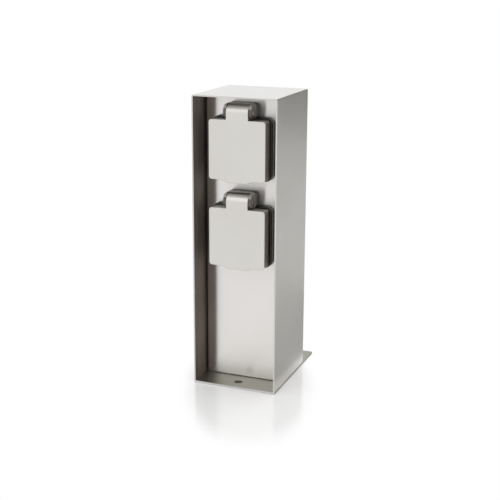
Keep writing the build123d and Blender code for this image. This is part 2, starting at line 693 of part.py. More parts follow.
def housing_outline():
    """Front view of the hinge housing, rounded at its two upper corners."""
    low = FLANGE_W / 2 - FLANGE_T / 2
    tall = HOUSING_TOP - low
    tongue = Pos(0, low + tall / 2) * Rectangle(HOUSING_W, tall)
    return fillet(tongue.vertices().sort_by(Axis.Y)[-2:], HOUSING_CORNER_R)


def ear_profile():
    """Side view of the hinge housing's ears: a straight back and a round nose about the pin."""
    foot = FLANGE_W / 2 - FLANGE_T / 2
    nose = HINGE_Y - EAR_R
    lift = HOUSING_TOP - HINGE_Z
    half_root = math.sqrt(0.5)
    upper_mid = (0, HINGE_Y - EAR_R * half_root, HINGE_Z + lift * half_root)
    lower_mid = (0, HINGE_Y - EAR_R * half_root, HINGE_Z - EAR_R * half_root)
    top_front = (0, HINGE_Y, HOUSING_TOP)
    bottom = (0, HINGE_Y, HINGE_Z - EAR_R)
    lines = Polyline((0, HINGE_Y, HINGE_Z - EAR_R), (0, FLANGE_FRONT, HINGE_Z - EAR_R), (0, FLANGE_FRONT, foot),
                     (0, -GASKET_T, foot), (0, -GASKET_T, HOUSING_TOP), top_front)
    return [lines, ThreePointArc(top_front, upper_mid, (0, nose, HINGE_Z)),
            ThreePointArc((0, nose, HINGE_Z), lower_mid, bottom)]


def hinge_housing():
    """Two ears joined by a back and a top, open at the front for the lid's rolled tab."""
    half = HOUSING_W / 2
    housing = side_slab(ear_profile(), -half, half)
    housing &= slab(housing_outline(), HINGE_Y - 2 * EAR_R, -GASKET_T)
    slot = TAB_W / 2 + TAB_GAP
    low = FLANGE_W / 2 - FLANGE_T
    housing -= rod_x(HINGE_Y, HINGE_Z, -slot, slot, HOUSING_ROOM_R)
    housing -= block(-slot, slot, HINGE_Y - 3 * EAR_R, HINGE_Y, low, HOUSING_TOP + CUT)
    housing -= block(-slot, slot, HINGE_Y, FLANGE_FRONT, low, HINGE_Z)
    return housing


def socket_body():
    """Moulded body: flange, raised rim round the plug well, pot behind the panel and hinge housing."""
    flange = slab(RectangleRounded(FLANGE_W, FLANGE_W, FLANGE_R), FLANGE_FRONT, -GASKET_T)
    flange = fillet(flange.faces().sort_by(Axis.Y)[0].edges(), FLANGE_EDGE_R)
    body = flange + hinge_housing()
    body += rod_y(0, 0, RIM_FRONT, -GASKET_T, POT_R) + rod_y(0, 0, -GASKET_T, COVER_Y, BODY_R)
    body -= rod_y(0, 0, RIM_FRONT - CUT, FLOOR_Y, WELL_R)
    body -= rod_y(0, 0, FLOOR_Y, COVER_Y + CUT, SEAT_R)
    for side in (-1, 1):
        x0, x1 = sorted((side * (WELL_R - RIB_H), side * (WELL_R + WELL_WALL / 2)))
        body += block(x0, x1, RIM_FRONT + RIB_SETBACK, FLOOR_Y, -RIB_W / 2, RIB_W / 2)
    for x, z in socket_screw_places():
        hole_r = M35_R + HOLE_CLEAR
        body -= rod_y(x, z, FLANGE_FRONT - CUT, 0, hole_r)
        body -= cone_y(x, z, FLANGE_FRONT, FLANGE_FRONT + M35_HEAD_H, M35_HEAD_R + HOLE_CLEAR, hole_r)
    body -= rod_x(HINGE_Y, HINGE_Z, -HOUSING_W, HOUSING_W, PIN_R + FIT)
    hook_x = -(TAB_W / 2 + TAB_GAP + LID_SPRING_HOOK + HOLE_CLEAR)
    return body - rod_x(HINGE_Y, HINGE_Z + LID_SPRING_R, hook_x, 0, LID_SPRING_WIRE_R + HOLE_CLEAR)


def flange_gasket():
    """Flat rubber gasket between the flange and the panel."""
    gasket = slab(mounting_outline(), -GASKET_T, 0)
    gasket -= rod_y(0, 0, -GASKET_T - CUT, CUT, BODY_R + INSERT_CLEAR)
    for x, z in socket_screw_places():
        gasket -= rod_y(x, z, -GASKET_T - CUT, CUT, M35_R + HOLE_CLEAR)
    return gasket


def lid_outline(inset):
    """Front view of the lid: a square with rounded corners and a soft finger lip below."""
    h = LID_W / 2 - inset
    lip = LIP_HALF_W - inset
    run = lip + LIP_RUN
    low = -h - LIP_DEPTH
    points = [(-h, h), (h, h), (h, -h), (run, -h), (lip, low), (-lip, low), (-run, -h), (-h, -h)]
    corner = LID_CORNER_R - inset
    radii = [corner] * 3 + [LIP_R] * 4 + [corner]
    return make_face(FilletPolyline(*points, radius=radii, close=True))


def lid_plate():
    """Steel face of the lid, with a tab that rolls back over the hinge pin."""
    plate = slab(lid_outline(0), -LID_FRONT, LID_BODY_FRONT)
    half = TAB_W / 2
    plate += block(-half, half, -LID_FRONT, LID_BODY_FRONT, HINGE_Z - HINGE_RISE - CUT, HINGE_Z)
    outer, inner = ROLL_R, ROLL_R - LID_PLATE_T
    end = math.radians(ROLL_END_DEG)

    def on_roll(r, angle):
        return (0, HINGE_Y - r * math.cos(angle), HINGE_Z + r * math.sin(angle))

    outline = [ThreePointArc(on_roll(outer, 0), on_roll(outer, end / 2), on_roll(outer, end)),
               Line(on_roll(outer, end), on_roll(inner, end)),
               ThreePointArc(on_roll(inner, end), on_roll(inner, end / 2), on_roll(inner, 0)),
               Line(on_roll(inner, 0), on_roll(outer, 0))]
    return plate + side_slab(outline, -half, half)


def lid_body():
    """Moulded lid behind the steel face: a shallow shell, a seal ring and the hinge knuckle."""
    lid = slab(lid_outline(LID_INSET), LID_BODY_FRONT, LID_BACK)
    hollow = LID_BODY_W / 2 - LID_WALL
    lid -= slab(RectangleRounded(2 * hollow, 2 * hollow, LID_CORNER_R / 2), LID_INNER_FRONT, LID_BACK + CUT)
    ring = rod_y(0, 0, LID_INNER_FRONT - FIT, SEAL_FRONT, SEAL_R)
    ring -= rod_y(0, 0, LID_INNER_FRONT - CUT, 0, SEAL_R - SEAL_W)
    half = TAB_W / 2
    neck = block(-half, half, LID_BODY_FRONT, HINGE_Y + NECK_BACK, LID_BODY_W / 2 - LID_WALL, HINGE_Z)
    lid += ring + neck + rod_x(HINGE_Y, HINGE_Z, -half, half, KNUCKLE_R)
    room = LID_SPRING_WIRE_R + SPRING_ROOM
    leg_x, leg_y = SPRING_X1, HINGE_Y - LID_SPRING_R
    lid -= rod_x(HINGE_Y, HINGE_Z, -half - CUT, leg_x + room, SPRING_POCKET_R)
    low = HINGE_Z - LID_SPRING_LEG - room
    lid -= block(leg_x - room, leg_x + room, leg_y - room, leg_y + room, low, HINGE_Z)
    return lid - rod_x(HINGE_Y, HINGE_Z, -HOUSING_W, HOUSING_W, PIN_R + PIN_CLEAR)


def lid_seal():
    """Rubber ring in the lid, which closes on the well's rim."""
    return rod_y(0, 0, SEAL_FRONT, SEAL_BACK, SEAL_R) - rod_y(0, 0, SEAL_FRONT - CUT, 0, SEAL_R - SEAL_W)


def hinge_pin():
    """Steel pin pressed in the two ears."""
    half = HOUSING_W / 2 - PIN_INSET
    return rod_x(HINGE_Y, HINGE_Z, -half, half, PIN_R)


def coil(mean_r, wire_r, pitch, turns, leg):
    """A helical coil along Z, centred on the origin, that starts on the +X side and ends in a straight leg."""
    height = pitch * turns
    path = Pos(0, 0, -height / 2) * Helix(pitch=pitch, height=height, radius=mean_r)
    start = Plane(origin=path @ 0, z_dir=path % 0)
    end = Plane(origin=path @ 1, z_dir=path % 1)
    return sweep(start * Circle(wire_r), path=path, is_frenet=True) + extrude(end * Circle(wire_r), leg)


def lid_spring():
    """Torsion spring round the pin: a hook in the left ear, and a leg down inside the lid's neck.

    The hook is a hair thinner than the coil, so that their round faces don't coincide.
    """
    turns = coil(LID_SPRING_R, LID_SPRING_WIRE_R, LID_SPRING_PITCH, LID_SPRING_TURNS, LID_SPRING_LEG)
    spring = Pos((SPRING_X0 + SPRING_X1) / 2, HINGE_Y, HINGE_Z) * Rot(180, 0, 0) * Rot(0, 90, 0) * turns
    hook_x = -(TAB_W / 2 + TAB_GAP + LID_SPRING_HOOK)
    return spring + rod_x(HINGE_Y, HINGE_Z + LID_SPRING_R, hook_x, SPRING_X0, LID_SPRING_WIRE_R - FIT)


def shutter_spring():
    """Small torsion spring round the insert's boss, one end in the shutter and the other in the carrier."""
    r = SHUTTER_SPRING_WIRE_R
    turns = coil(SHUTTER_SPRING_R, r, SHUTTER_SPRING_PITCH, SHUTTER_SPRING_TURNS, SHUTTER_SPRING_LEG)
    mid = CARRIER_Y + SHUTTER_SPRING_ROOM / 2
    spring = Pos(0, mid, 0) * Rot(-90, 0, 0) * turns
    shutter_end = CARRIER_Y - SHUTTER_GAP - SHUTTER_SPRING_HOOK
    return spring + rod_y(SHUTTER_SPRING_R, 0, shutter_end, mid - SHUTTER_SPRING_HALF, r)


def shutter():
    """Round child safety shutter behind the well's floor, its two holes a turn away from the pin holes."""
    disc = rod_y(0, 0, CAVITY_Y + SHUTTER_GAP, CARRIER_Y - SHUTTER_GAP, SHUTTER_R)
    disc -= rod_y(0, 0, CAVITY_Y, CARRIER_Y, BOSS_R + PIN_CLEAR)
    disc -= rod_y(SHUTTER_SPRING_R, 0, CAVITY_Y, CARRIER_Y, SHUTTER_SPRING_WIRE_R + HOLE_CLEAR)
    for turn in (SHUTTER_DEG, SHUTTER_DEG + 180):
        a = math.radians(turn)
        disc -= rod_y(PIN_X * math.cos(a), PIN_X * math.sin(a), CAVITY_Y, CARRIER_Y, SHUTTER_HOLE_R)
    return disc


def clip_notches():
    """Room for the earth clip's two arms."""
    half = CLIP_W / 2 + CARRIER_CLEAR
    z0, z1 = CLIP_Z - CLIP_T, SEAT_R + CUT
    return [block(-half, half, FLOOR_Y - CUT, CARRIER_END, *sorted((side * z0, side * z1))) for side in (-1, 1)]


def socket_insert():
    """Floor of the well, with the pin holes in front and a round room for the shutter behind."""
    disc = rod_y(0, 0, FLOOR_Y, CARRIER_Y, SEAT_R - INSERT_CLEAR)
    disc -= rod_y(0, 0, CAVITY_Y, CARRIER_Y + CUT, SHUTTER_R + SHUTTER_RIM_GAP)
    for side in (-1, 1):
        disc -= rod_y(side * PIN_X, 0, FLOOR_Y - CUT, CAVITY_Y + CUT, PIN_HOLE_R)
        disc -= rod_y(side * COVER_SCREW_X, COVER_SCREW_Z, FLOOR_Y + INSERT_SKIN, CARRIER_Y + CUT, M3_R + FIT)
    for notch in clip_notches():
        disc -= notch
    return disc + rod_y(0, 0, CAVITY_Y, CARRIER_Y + SHUTTER_SPRING_ROOM - GAP, BOSS_R)


def contact_carrier():
    """Moulded block behind the insert, with a room open at the back for each contact."""
    block_r = SEAT_R - CARRIER_CLEAR
    high = CLIP_Z - CLIP_T / 2 - CARRIER_CLEAR
    carrier = rod_y(0, 0, CARRIER_Y, CARRIER_END, block_r)
    carrier &= block(-block_r, block_r, CARRIER_Y, CARRIER_END, -high, high)
    carrier -= rod_y(0, 0, CARRIER_Y - CUT, CARRIER_Y + SHUTTER_SPRING_ROOM, SHUTTER_SPRING_R + SPRING_ROOM)
    slot = SHUTTER_SPRING_WIRE_R + HOLE_CLEAR
    slot_x = SHUTTER_SPRING_LEG + GAP
    carrier -= block(-slot_x, 0, CARRIER_Y - CUT, CARRIER_Y + SHUTTER_SPRING_ROOM, -SHUTTER_SPRING_R - slot,
                     -SHUTTER_SPRING_R + slot)
    room = TERMINAL_HALF + CARRIER_CLEAR
    inner = CARRIER_Y + CARRIER_FRONT_T
    low = -(TERMINAL_DROP + room)
    for side in (-1, 1):
        x = side * PIN_X
        carrier -= rod_y(x, 0, CARRIER_Y - CUT, inner + CUT, PIN_HOLE_R)
        carrier -= rod_y(x, 0, inner, CARRIER_END + CUT, room)
        carrier -= block(x - room, x + room, TERMINAL_Y - CARRIER_CLEAR, CARRIER_END + CUT, low, 0)
        carrier -= rod_z(x, TERMINAL_MID, -SEAT_R, low + CUT, TERM_HEAD_R + HOLE_CLEAR)
        y0, y1 = CARRIER_Y - CUT, CARRIER_END + CUT
        carrier -= rod_y(side * COVER_SCREW_X, COVER_SCREW_Z, y0, y1, M3_R + HOLE_CLEAR)
    return carrier


def contact(side):
    """Slit pin sleeve with a strip down to its screw terminal. The live one is at -X, the neutral one at +X."""
    x = side * PIN_X
    end = SLEEVE_Y + SLEEVE_L
    low = -(TERMINAL_DROP + TERMINAL_HALF)
    high = -(TERMINAL_DROP - TERMINAL_HALF)
    piece = rod_y(x, 0, SLEEVE_Y, end, SLEEVE_R)
    piece += block(x - STRIP_HALF_W, x + STRIP_HALF_W, TERMINAL_Y, TERMINAL_END, high - FIT, 0)
    cage = block(x - TERMINAL_HALF, x + TERMINAL_HALF, TERMINAL_Y, TERMINAL_END, low, high)
    piece += chamfer(cage.edges().filter_by(Axis.Y), TERMINAL_CHAMFER)
    piece -= rod_y(x, 0, SLEEVE_Y - CUT, end + CUT, SLEEVE_BORE_R)
    piece -= block(x - SLIT_W / 2, x + SLIT_W / 2, SLEEVE_Y - CUT, end + CUT, 0, SLEEVE_R + CUT)
    piece -= rod_y(x, -TERMINAL_DROP, TERMINAL_Y + HOLE_END_T, TERMINAL_END + CUT, CONDUCTOR_HOLE_R)
    return piece - rod_z(x, TERMINAL_MID, low - CUT, -TERMINAL_DROP, TERM_SCREW_R + FIT)


def earth_clip():
    """Spring strip bent to a U behind the carrier: its two arms lie on the well's wall, above and below."""
    z = CLIP_Z
    tip = RIM_FRONT + CLIP_SETBACK
    bow = tip + CLIP_BOW_L
    arm = [(0, tip, z - CLIP_T / 2), (0, bow, z - CLIP_BOW), (0, bow + CLIP_BOW_L, z), (0, CLIP_BACK, z)]
    route = arm + [(0, y, -up) for _, y, up in reversed(arm)]
    centre = FilletPolyline(*[(y, up) for _, y, up in route], radius=CLIP_BEND_R)
    strip = Plane.YZ * trace(centre, line_width=CLIP_T)
    clip = Pos(-CLIP_W / 2, 0, 0) * extrude(strip, CLIP_W, dir=(1, 0, 0))
    y0, y1 = CLIP_TERMINAL_Y, CLIP_TERMINAL_Y + CLIP_TERMINAL_L
    low = -(TERMINAL_DROP + TERMINAL_HALF)
    clip += block(-TERMINAL_HALF, TERMINAL_HALF, y0 - FIT, y1, low, low + 2 * TERMINAL_HALF)
    clip -= rod_y(0, -TERMINAL_DROP, y0, y1 + CUT, CONDUCTOR_HOLE_R)
    return clip - rod_z(0, (y0 + y1) / 2, low - CUT, -TERMINAL_DROP, TERM_SCREW_R + FIT)


def contact_screws():
    """Clamping screws of a socket's live, neutral and earth terminals."""
    cage_low = -(TERMINAL_DROP + TERMINAL_HALF)
    places = [(-PIN_X, TERMINAL_MID), (PIN_X, TERMINAL_MID), (0, CLIP_TERMINAL_Y + CLIP_TERMINAL_L / 2)]
    screws = []
    for x, y in places:
        tip = -(TERMINAL_DROP + TERM_SCREW_TIP)
        neck = cage_low - GAP
        screws.append(rod_z(x, y, neck, tip, TERM_SCREW_R) + rod_z(x, y, neck - TERM_HEAD_H, neck, TERM_HEAD_R))
    return whole(screws)


def contact_cover():
    """Round cap on the pot's back, with two posts on the carrier and three tight wire holes."""
    cap = rod_y(0, 0, COVER_Y, COVER_END, BODY_R)
    cap = chamfer(cap.edges().sort_by(Axis.Y)[-1], COVER_CHAMFER)
    spigot_r = SEAT_R - INSERT_CLEAR
    spigot = rod_y(0, 0, COVER_Y - COVER_SPIGOT, COVER_Y, spigot_r)
    cap += spigot - rod_y(0, 0, COVER_Y - COVER_SPIGOT - CUT, COVER_Y, spigot_r - COVER_SPIGOT_T)
    for side in (-1, 1):
        cap += rod_y(side * COVER_SCREW_X, COVER_SCREW_Z, CARRIER_END, COVER_Y, COVER_POST_R)
        cap -= rod_y(side * COVER_SCREW_X, COVER_SCREW_Z, CARRIER_END - CUT, COVER_END + CUT, M3_R + HOLE_CLEAR)
    for x in (-PIN_X, 0, PIN_X):
        cap -= rod_y(x, -TERMINAL_DROP, COVER_Y - CUT, COVER_END + CUT, WIRE_R + HOLE_CLEAR)
    return cap


def cover_screws():
    """Two long screws through the cover and the carrier into the insert."""
    tip = FLOOR_Y + INSERT_SKIN + SCREW_BOTTOM
    return whole([rod_y(side * COVER_SCREW_X, COVER_SCREW_Z, tip, COVER_END, M3_R)
                  + rod_y(side * COVER_SCREW_X, COVER_SCREW_Z, COVER_END, COVER_END + M3_HEAD_H, M3_HEAD_R)
                  for side in (-1, 1)])


def flange_screws():
    """Four countersunk screws through the flange, hidden by the closed lid."""
    front = FLANGE_FRONT + HOLE_CLEAR
    shoulder = FLANGE_FRONT + M35_HEAD_H
    return whole([cone_y(x, z, front, shoulder, M35_HEAD_R, M35_R)
                  + rod_y(x, z, shoulder - FIT, front + M35_LEN, M35_R) for x, z in socket_screw_places()])


def flange_nuts():
    """Four nuts behind the front panel."""
    nuts = []
    for x, z in socket_screw_places():
        nut = Pos(x, SHEET + NUT_H, z) * Rot(90, 0, 0) * hex_nut(SMALL_NUT_R, NUT_H)
        nuts.append(nut - rod_y(x, z, SHEET - CUT, SHEET + NUT_H + CUT, M35_R + FIT))
    return whole(nuts)


def socket_pieces():
    """Every piece of one socket in its own frame, by name."""
    return {
        "socket_body": socket_body(),
        "flange_gasket": flange_gasket(),
        "socket_insert": socket_insert(),
        "shutter": shutter(),
        "shutter_spring": shutter_spring(),
        "contact_carrier": contact_carrier(),
        "live_contact": contact(-1),
        "neutral_contact": contact(1),
        "earth_clip": earth_clip(),
        "contact_screws": contact_screws(),
        "contact_cover": contact_cover(),
        "cover_screws": cover_screws(),
        "flange_screws": flange_screws(),
        "flange_nuts": flange_nuts(),
        "lid_body": lid_body(),
        "lid_plate": lid_plate(),
        "lid_seal": lid_seal(),
        "hinge_pin": hinge_pin(),
        "lid_spring": lid_spring(),
    }


def post_pieces():
    """Every piece of the post apart from the sockets, by name."""
    return {
        "outer_casing": outer_casing(),
        "front_panel": front_panel(),
        "panel_folds": panel_folds(),
        "rear_panel": rear_panel(),
        "base_plate": base_plate(),
        "base_screws": base_screws(),
        "press_nuts": press_nuts(),
        "panel_nuts": panel_nuts(),
        "rear_screws": rear_screws(),
        "cable_bush": cable_bush(),
        "mounting_bracket": mounting_bracket(),
        "cable_clamp": cable_clamp(),
        "clamp_screws": clamp_screws(),
        "terminal_block": terminal_block(),
        "terminal_sleeves": terminal_sleeves(),
        "terminal_screws": terminal_screws(),
        "block_screws": block_screws(),
        "earth_nuts": earth_nuts(),
        "earth_lug": earth_lug(),
        "casing_earth_wire": casing_earth_wire(),
    }


def main():
    """Draw every piece and write one file for each."""
    os.makedirs("parts", exist_ok=True)
    for name, shape in post_pieces().items():
        save(name, shape)
    pieces = socket_pieces()
    for which, z in SOCKET_Z.items():
        for name, shape in pieces.items():
            save(f"{which}_{name}", Pos(0, PANEL_Y, z) * shape)
        save(f"{which}_wires", socket_wires(which))


main()
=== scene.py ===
"""Looks of the outdoor socket post: rounded sheet and moulded pieces, screws, springs, finishes and light.

Lengths are written in millimetres and turned to metres by MM, in the frame of the CAD part.
"""
import json
import math

import bmesh
import bpy
from mathutils import Matrix, Vector

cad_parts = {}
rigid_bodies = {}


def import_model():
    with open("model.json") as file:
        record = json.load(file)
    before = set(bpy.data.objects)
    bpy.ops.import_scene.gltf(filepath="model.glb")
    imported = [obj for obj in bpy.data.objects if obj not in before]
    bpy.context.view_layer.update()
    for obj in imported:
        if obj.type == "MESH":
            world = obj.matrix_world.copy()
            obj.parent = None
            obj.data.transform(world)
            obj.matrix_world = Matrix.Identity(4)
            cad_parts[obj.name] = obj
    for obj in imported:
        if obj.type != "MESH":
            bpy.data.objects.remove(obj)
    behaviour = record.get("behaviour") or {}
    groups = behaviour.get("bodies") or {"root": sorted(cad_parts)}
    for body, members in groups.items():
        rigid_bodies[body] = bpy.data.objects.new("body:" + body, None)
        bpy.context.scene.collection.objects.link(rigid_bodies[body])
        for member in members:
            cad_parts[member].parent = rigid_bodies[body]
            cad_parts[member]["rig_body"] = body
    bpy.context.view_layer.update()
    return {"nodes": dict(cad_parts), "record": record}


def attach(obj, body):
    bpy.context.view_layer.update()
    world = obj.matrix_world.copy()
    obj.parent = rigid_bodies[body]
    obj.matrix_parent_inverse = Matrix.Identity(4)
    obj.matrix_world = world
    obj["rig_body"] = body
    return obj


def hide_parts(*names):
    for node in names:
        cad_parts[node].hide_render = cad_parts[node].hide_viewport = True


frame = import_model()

MM = 0.001

# Camera, fitted to the corners of the casing in the photograph
CAMERA_PLACE = (312.0, -814.7, 352.8)
CAMERA_YAW = math.radians(21.31)
CAMERA_PITCH = math.radians(15.54)
CAMERA_ROLL = math.radians(0.27)
FOCAL_PX = 1033.7
FRAME_PX = 500
SENSOR = 36.0
CAMERA_CLIP = (0.01, 20.0)

# Main places, as the CAD part has them
SOCKET_Z = {"upper": 205.4, "lower": 131.8}
FLANGE_Y = -33.8
INNER_X = 35.8
HINGE_Y = -39.8
HINGE_RISE = 30.5
LID_HALF = 24.8
BASE_HALF = 36.0
BASE_REACH = 51.0

# Rounding of edges, wider on mouldings than on cut sheet
SHEET_EDGE = 0.14
LID_EDGE = 0.3
MOULD_EDGE = 0.45
TRIM_EDGE = 0.25
SEAL_EDGE = 0.7
GASKET_EDGE = 0.2
PIN_EDGE = 0.3
WIRE_END_SHARE = 0.4
SHARP_ANGLE = math.radians(35.0)

# Points nearer than this are joined, and facets flatter than this are one face
WELD = 0.002
FLAT_ANGLE = math.radians(1.0)

# A face gets a finish of its own when its middle is this near to an edge or to the flange's front
EDGE_BAND = 1.0
SEAM_BAND = 0.1
# and when its normal points this squarely in one direction
SQUARE = 0.9
LID_BACK_FACING = 0.7
LID_UNDER_FACING = 0.6
BASE_FRONT_FACING = 0.5
HOUSING_TOP_FACING = 0.4
ROLL_TOP_FACING = 0.2
ROLL_BACK_FACING = 0.5

# Screws: sides of a head, how its face falls towards the edge, how deep it is sunk, and places
SCREW_SIDES = 40
HEAD_TOP_SHARE = 0.9
HEAD_DOME_POWER = 5.0
HEAD_SINK = 0.1
PITCH_HALF = 19.0
REAR_SCREW_X = 30.8
REAR_SCREW_Z = (24.0, 126.0, 228.0)
REAR_HEAD_Y = 27.4
BASE_SCREWS = ((30.3, -4.0), (30.3, 14.0), (22.0, -22.0), (16.0, -8.0))

# Lid spring round the hinge pin
SPRING_R = 2.5
SPRING_WIRE_R = 0.35
SPRING_X = (-8.95, -2.7)
SPRING_TURNS = 6.25
SPRING_HOOK_X = -11.2
SPRING_LEG = 5.0
SPRING_STEPS = 36
SPRING_WIRE_SIDES = 10

# A shutter spring is parted this far behind its disc
SPRING_CUT = 0.1

# Ribs in a lid's corners
RIB_Y = -40.6
RIB_SIZES = {"Count": 4, "Inner Radius": 21.0 * MM, "Length": 8.5 * MM, "Thickness": 1.2 * MM,
             "Height": 5.0 * MM}

# Noise: its middle range, how far streaks shift that range, and the length of wide clouds along X, Y and Z
NOISE_LOW, NOISE_HIGH = 0.35, 0.65
STREAK_LOW, STREAK_HIGH = 0.45, 0.55
STEEL_CLOUD = (38.0, 38.0, 60.0)
PLASTIC_CLOUD = (9.0, 9.0, 9.0)

# Wires: the earth wires lie within this of the middle, and have stripes of this scale and edge
EARTH_WIRE_X = 4.0
EARTH_STRIPES = 60.0
EARTH_STRIPE_EDGE = (0.48, 0.52)


def tone(code):
    """An sRGB hex colour as linear RGBA."""
    parts = [int(code[i:i + 2], 16) / 255 for i in (1, 3, 5)]
    return [*(c / 12.92 if c <= 0.04045 else ((c + 0.055) / 1.055) ** 2.4 for c in parts), 1.0]


def metres(point):
    """A point in millimetres as a vector in metres."""
    return Vector(point) * MM


def add(tree, kind, inputs=None, **settings):
    """Adds a node with its settings, and feeds its inputs with values or with other nodes' outputs."""
    made = tree.nodes.new(kind)
    for key, value in settings.items():
        setattr(made, key, value)
    for key, value in (inputs or {}).items():
        if isinstance(value, bpy.types.NodeSocket):
            tree.links.new(value, made.inputs[key])
        else:
            made.inputs[key].default_value = value
    return made


def number(tree, operation, first, second=0.0):
    """The result of one sum."""
    return add(tree, "ShaderNodeMath", {0: first, 1: second}, operation=operation).outputs[0]


# Finishes

def start_finish(name, shader_values):
    """A material with one Principled shader and its even values, with its tree and its shader."""
    material = bpy.data.materials.new(name)
    material.use_nodes = True
    tree = material.node_tree
    shader = tree.nodes["Principled BSDF"]
    for key, value in shader_values.items():
        shader.inputs[key].default_value = value
    return material, tree, shader


def mottle(tree, size, detail=3.0):
    """Noise on the piece's own coordinates; size is a patch's length along X, Y and Z in millimetres."""
    place = add(tree, "ShaderNodeTexCoord").outputs["Object"]
    scale = [1 / (s * MM) for s in size]
    scaled = add(tree, "ShaderNodeMapping", {"Vector": place, "Scale": scale})
    noise = add(tree, "ShaderNodeTexNoise", {"Vector": scaled.outputs[0], "Scale": 1.0, "Detail": detail})
    return noise.outputs["Fac"]


def between(tree, factor, low, high, near=NOISE_LOW, far=NOISE_HIGH):
    """Turns a noise's middle range near..far into the range low..high."""
    values = {"Value": factor, "From Min": near, "From Max": far, "To Min": low, "To Max": high}
    return add(tree, "ShaderNodeMapRange", values).outputs["Result"]


def blend_tones(tree, factor, first, second):
    """A colour between two tones."""
    made = add(tree, "ShaderNodeMix", data_type="RGBA")
    for key, value in ((6, first), (7, second)):
        made.inputs[key].default_value = value
    tree.links.new(factor, made.inputs[0])
    return made.outputs[2]


def put_finish(tree, shader, colour, roughness, height, depth):
    """Links a finish's colour, roughness and relief; depth is the relief's height in millimetres."""
    tree.links.new(colour, shader.inputs["Base Color"])
    tree.links.new(roughness, shader.inputs["Roughness"])
    relief = add(tree, "ShaderNodeBump", {"Height": height, "Distance": depth * MM, "Strength": 1.0})
    tree.links.new(relief.outputs[0], shader.inputs["Normal"])


def brushed_steel(name, tones, roughness, grain, depth, smear=0.0, edge=1.0, metal=1.0, streaky=0.0):
    """Stainless steel brushed in one direction: a fine grain in relief, and faint wide clouds.

    Smear is how far the brushing draws reflections out along the piece's Z, edge is how bright the steel
    stays when it is seen at a low angle, metal is less than 1 where a painted reflection or highlight takes
    part of the steel's shine, and streaky is how far the grain shows in the tone as well.
    """
    material, tree, shader = start_finish(name, {"Metallic": metal, "Anisotropic": smear,
                                                 "Specular Tint": (edge, edge, edge, 1.0)})
    if smear:
        upright = add(tree, "ShaderNodeVectorTransform", {0: (0.0, 0.0, 1.0)}, vector_type="VECTOR",
                      convert_from="OBJECT", convert_to="WORLD")
        tree.links.new(upright.outputs[0], shader.inputs["Tangent"])
    streaks = mottle(tree, grain, 4.0)
    clouds = mottle(tree, STEEL_CLOUD, 2.0)
    mixed = add(tree, "ShaderNodeMath", {0: streaks, 1: streaky, 2: clouds},
                operation="MULTIPLY_ADD").outputs[0]
    near, far = NOISE_LOW + STREAK_LOW * streaky, NOISE_HIGH + STREAK_HIGH * streaky
    colour = blend_tones(tree, between(tree, mixed, 0.0, 1.0, near, far), tone(tones[0]), tone(tones[1]))
    rough = between(tree, mixed, *roughness, near, far)
    put_finish(tree, shader, colour, rough, streaks, depth)
    return material


def moulded(name, tones, roughness, texture, depth, **shader_values):
    """Moulded plastic or rubber: an even colour with slight clouds and a fine texture of the mould."""
    material, tree, shader = start_finish(name, shader_values)
    texture_fac = mottle(tree, (texture,) * 3, 4.0)
    clouds = mottle(tree, PLASTIC_CLOUD, 3.0)
    colour = blend_tones(tree, between(tree, clouds, 0.0, 1.0), tone(tones[0]), tone(tones[1]))
    put_finish(tree, shader, colour, between(tree, clouds, *roughness), texture_fac, depth)
    return material


def plated(name, tones, roughness, patch, depth):
    """Plated or drawn metal: small cloudy patches and a slightly uneven gloss."""
    material, tree, shader = start_finish(name, {"Metallic": 1.0})
    patches = mottle(tree, (patch,) * 3, 4.0)
    colour = blend_tones(tree, between(tree, patches, 0.0, 1.0), tone(tones[0]), tone(tones[1]))
    put_finish(tree, shader, colour, between(tree, patches, *roughness), patches, depth)
    return material


def wire_covers():
    """PVC wire covers: brown live at the left, blue neutral at the right, striped earth in the middle."""
    material, tree, shader = start_finish("pvc_wire_covers", {"Roughness": 0.42})
    place = add(tree, "ShaderNodeTexCoord").outputs["Object"]
    x = add(tree, "ShaderNodeSeparateXYZ", {0: place}).outputs[0]
    left = number(tree, "LESS_THAN", x, -EARTH_WIRE_X * MM)
    right = number(tree, "GREATER_THAN", x, EARTH_WIRE_X * MM)
    stripes = add(tree, "ShaderNodeTexWave", {"Vector": place, "Scale": EARTH_STRIPES, "Distortion": 0.0})
    colour = blend_tones(tree, between(tree, stripes.outputs["Fac"], 0.0, 1.0, *EARTH_STRIPE_EDGE),
                         tone("#3C8A3A"), tone("#D8C42E"))
    for where, cover in ((left, "#6A4226"), (right, "#2C5CA8")):
        colour = add(tree, "ShaderNodeMix", {0: where, 6: colour, 7: tone(cover)},
                     data_type="RGBA").outputs[2]
    rough = between(tree, mottle(tree, (2.0, 2.0, 2.0)), 0.36, 0.5)
    put_finish(tree, shader, colour, rough, mottle(tree, (0.8, 0.8, 0.8)), 0.01)
    return material


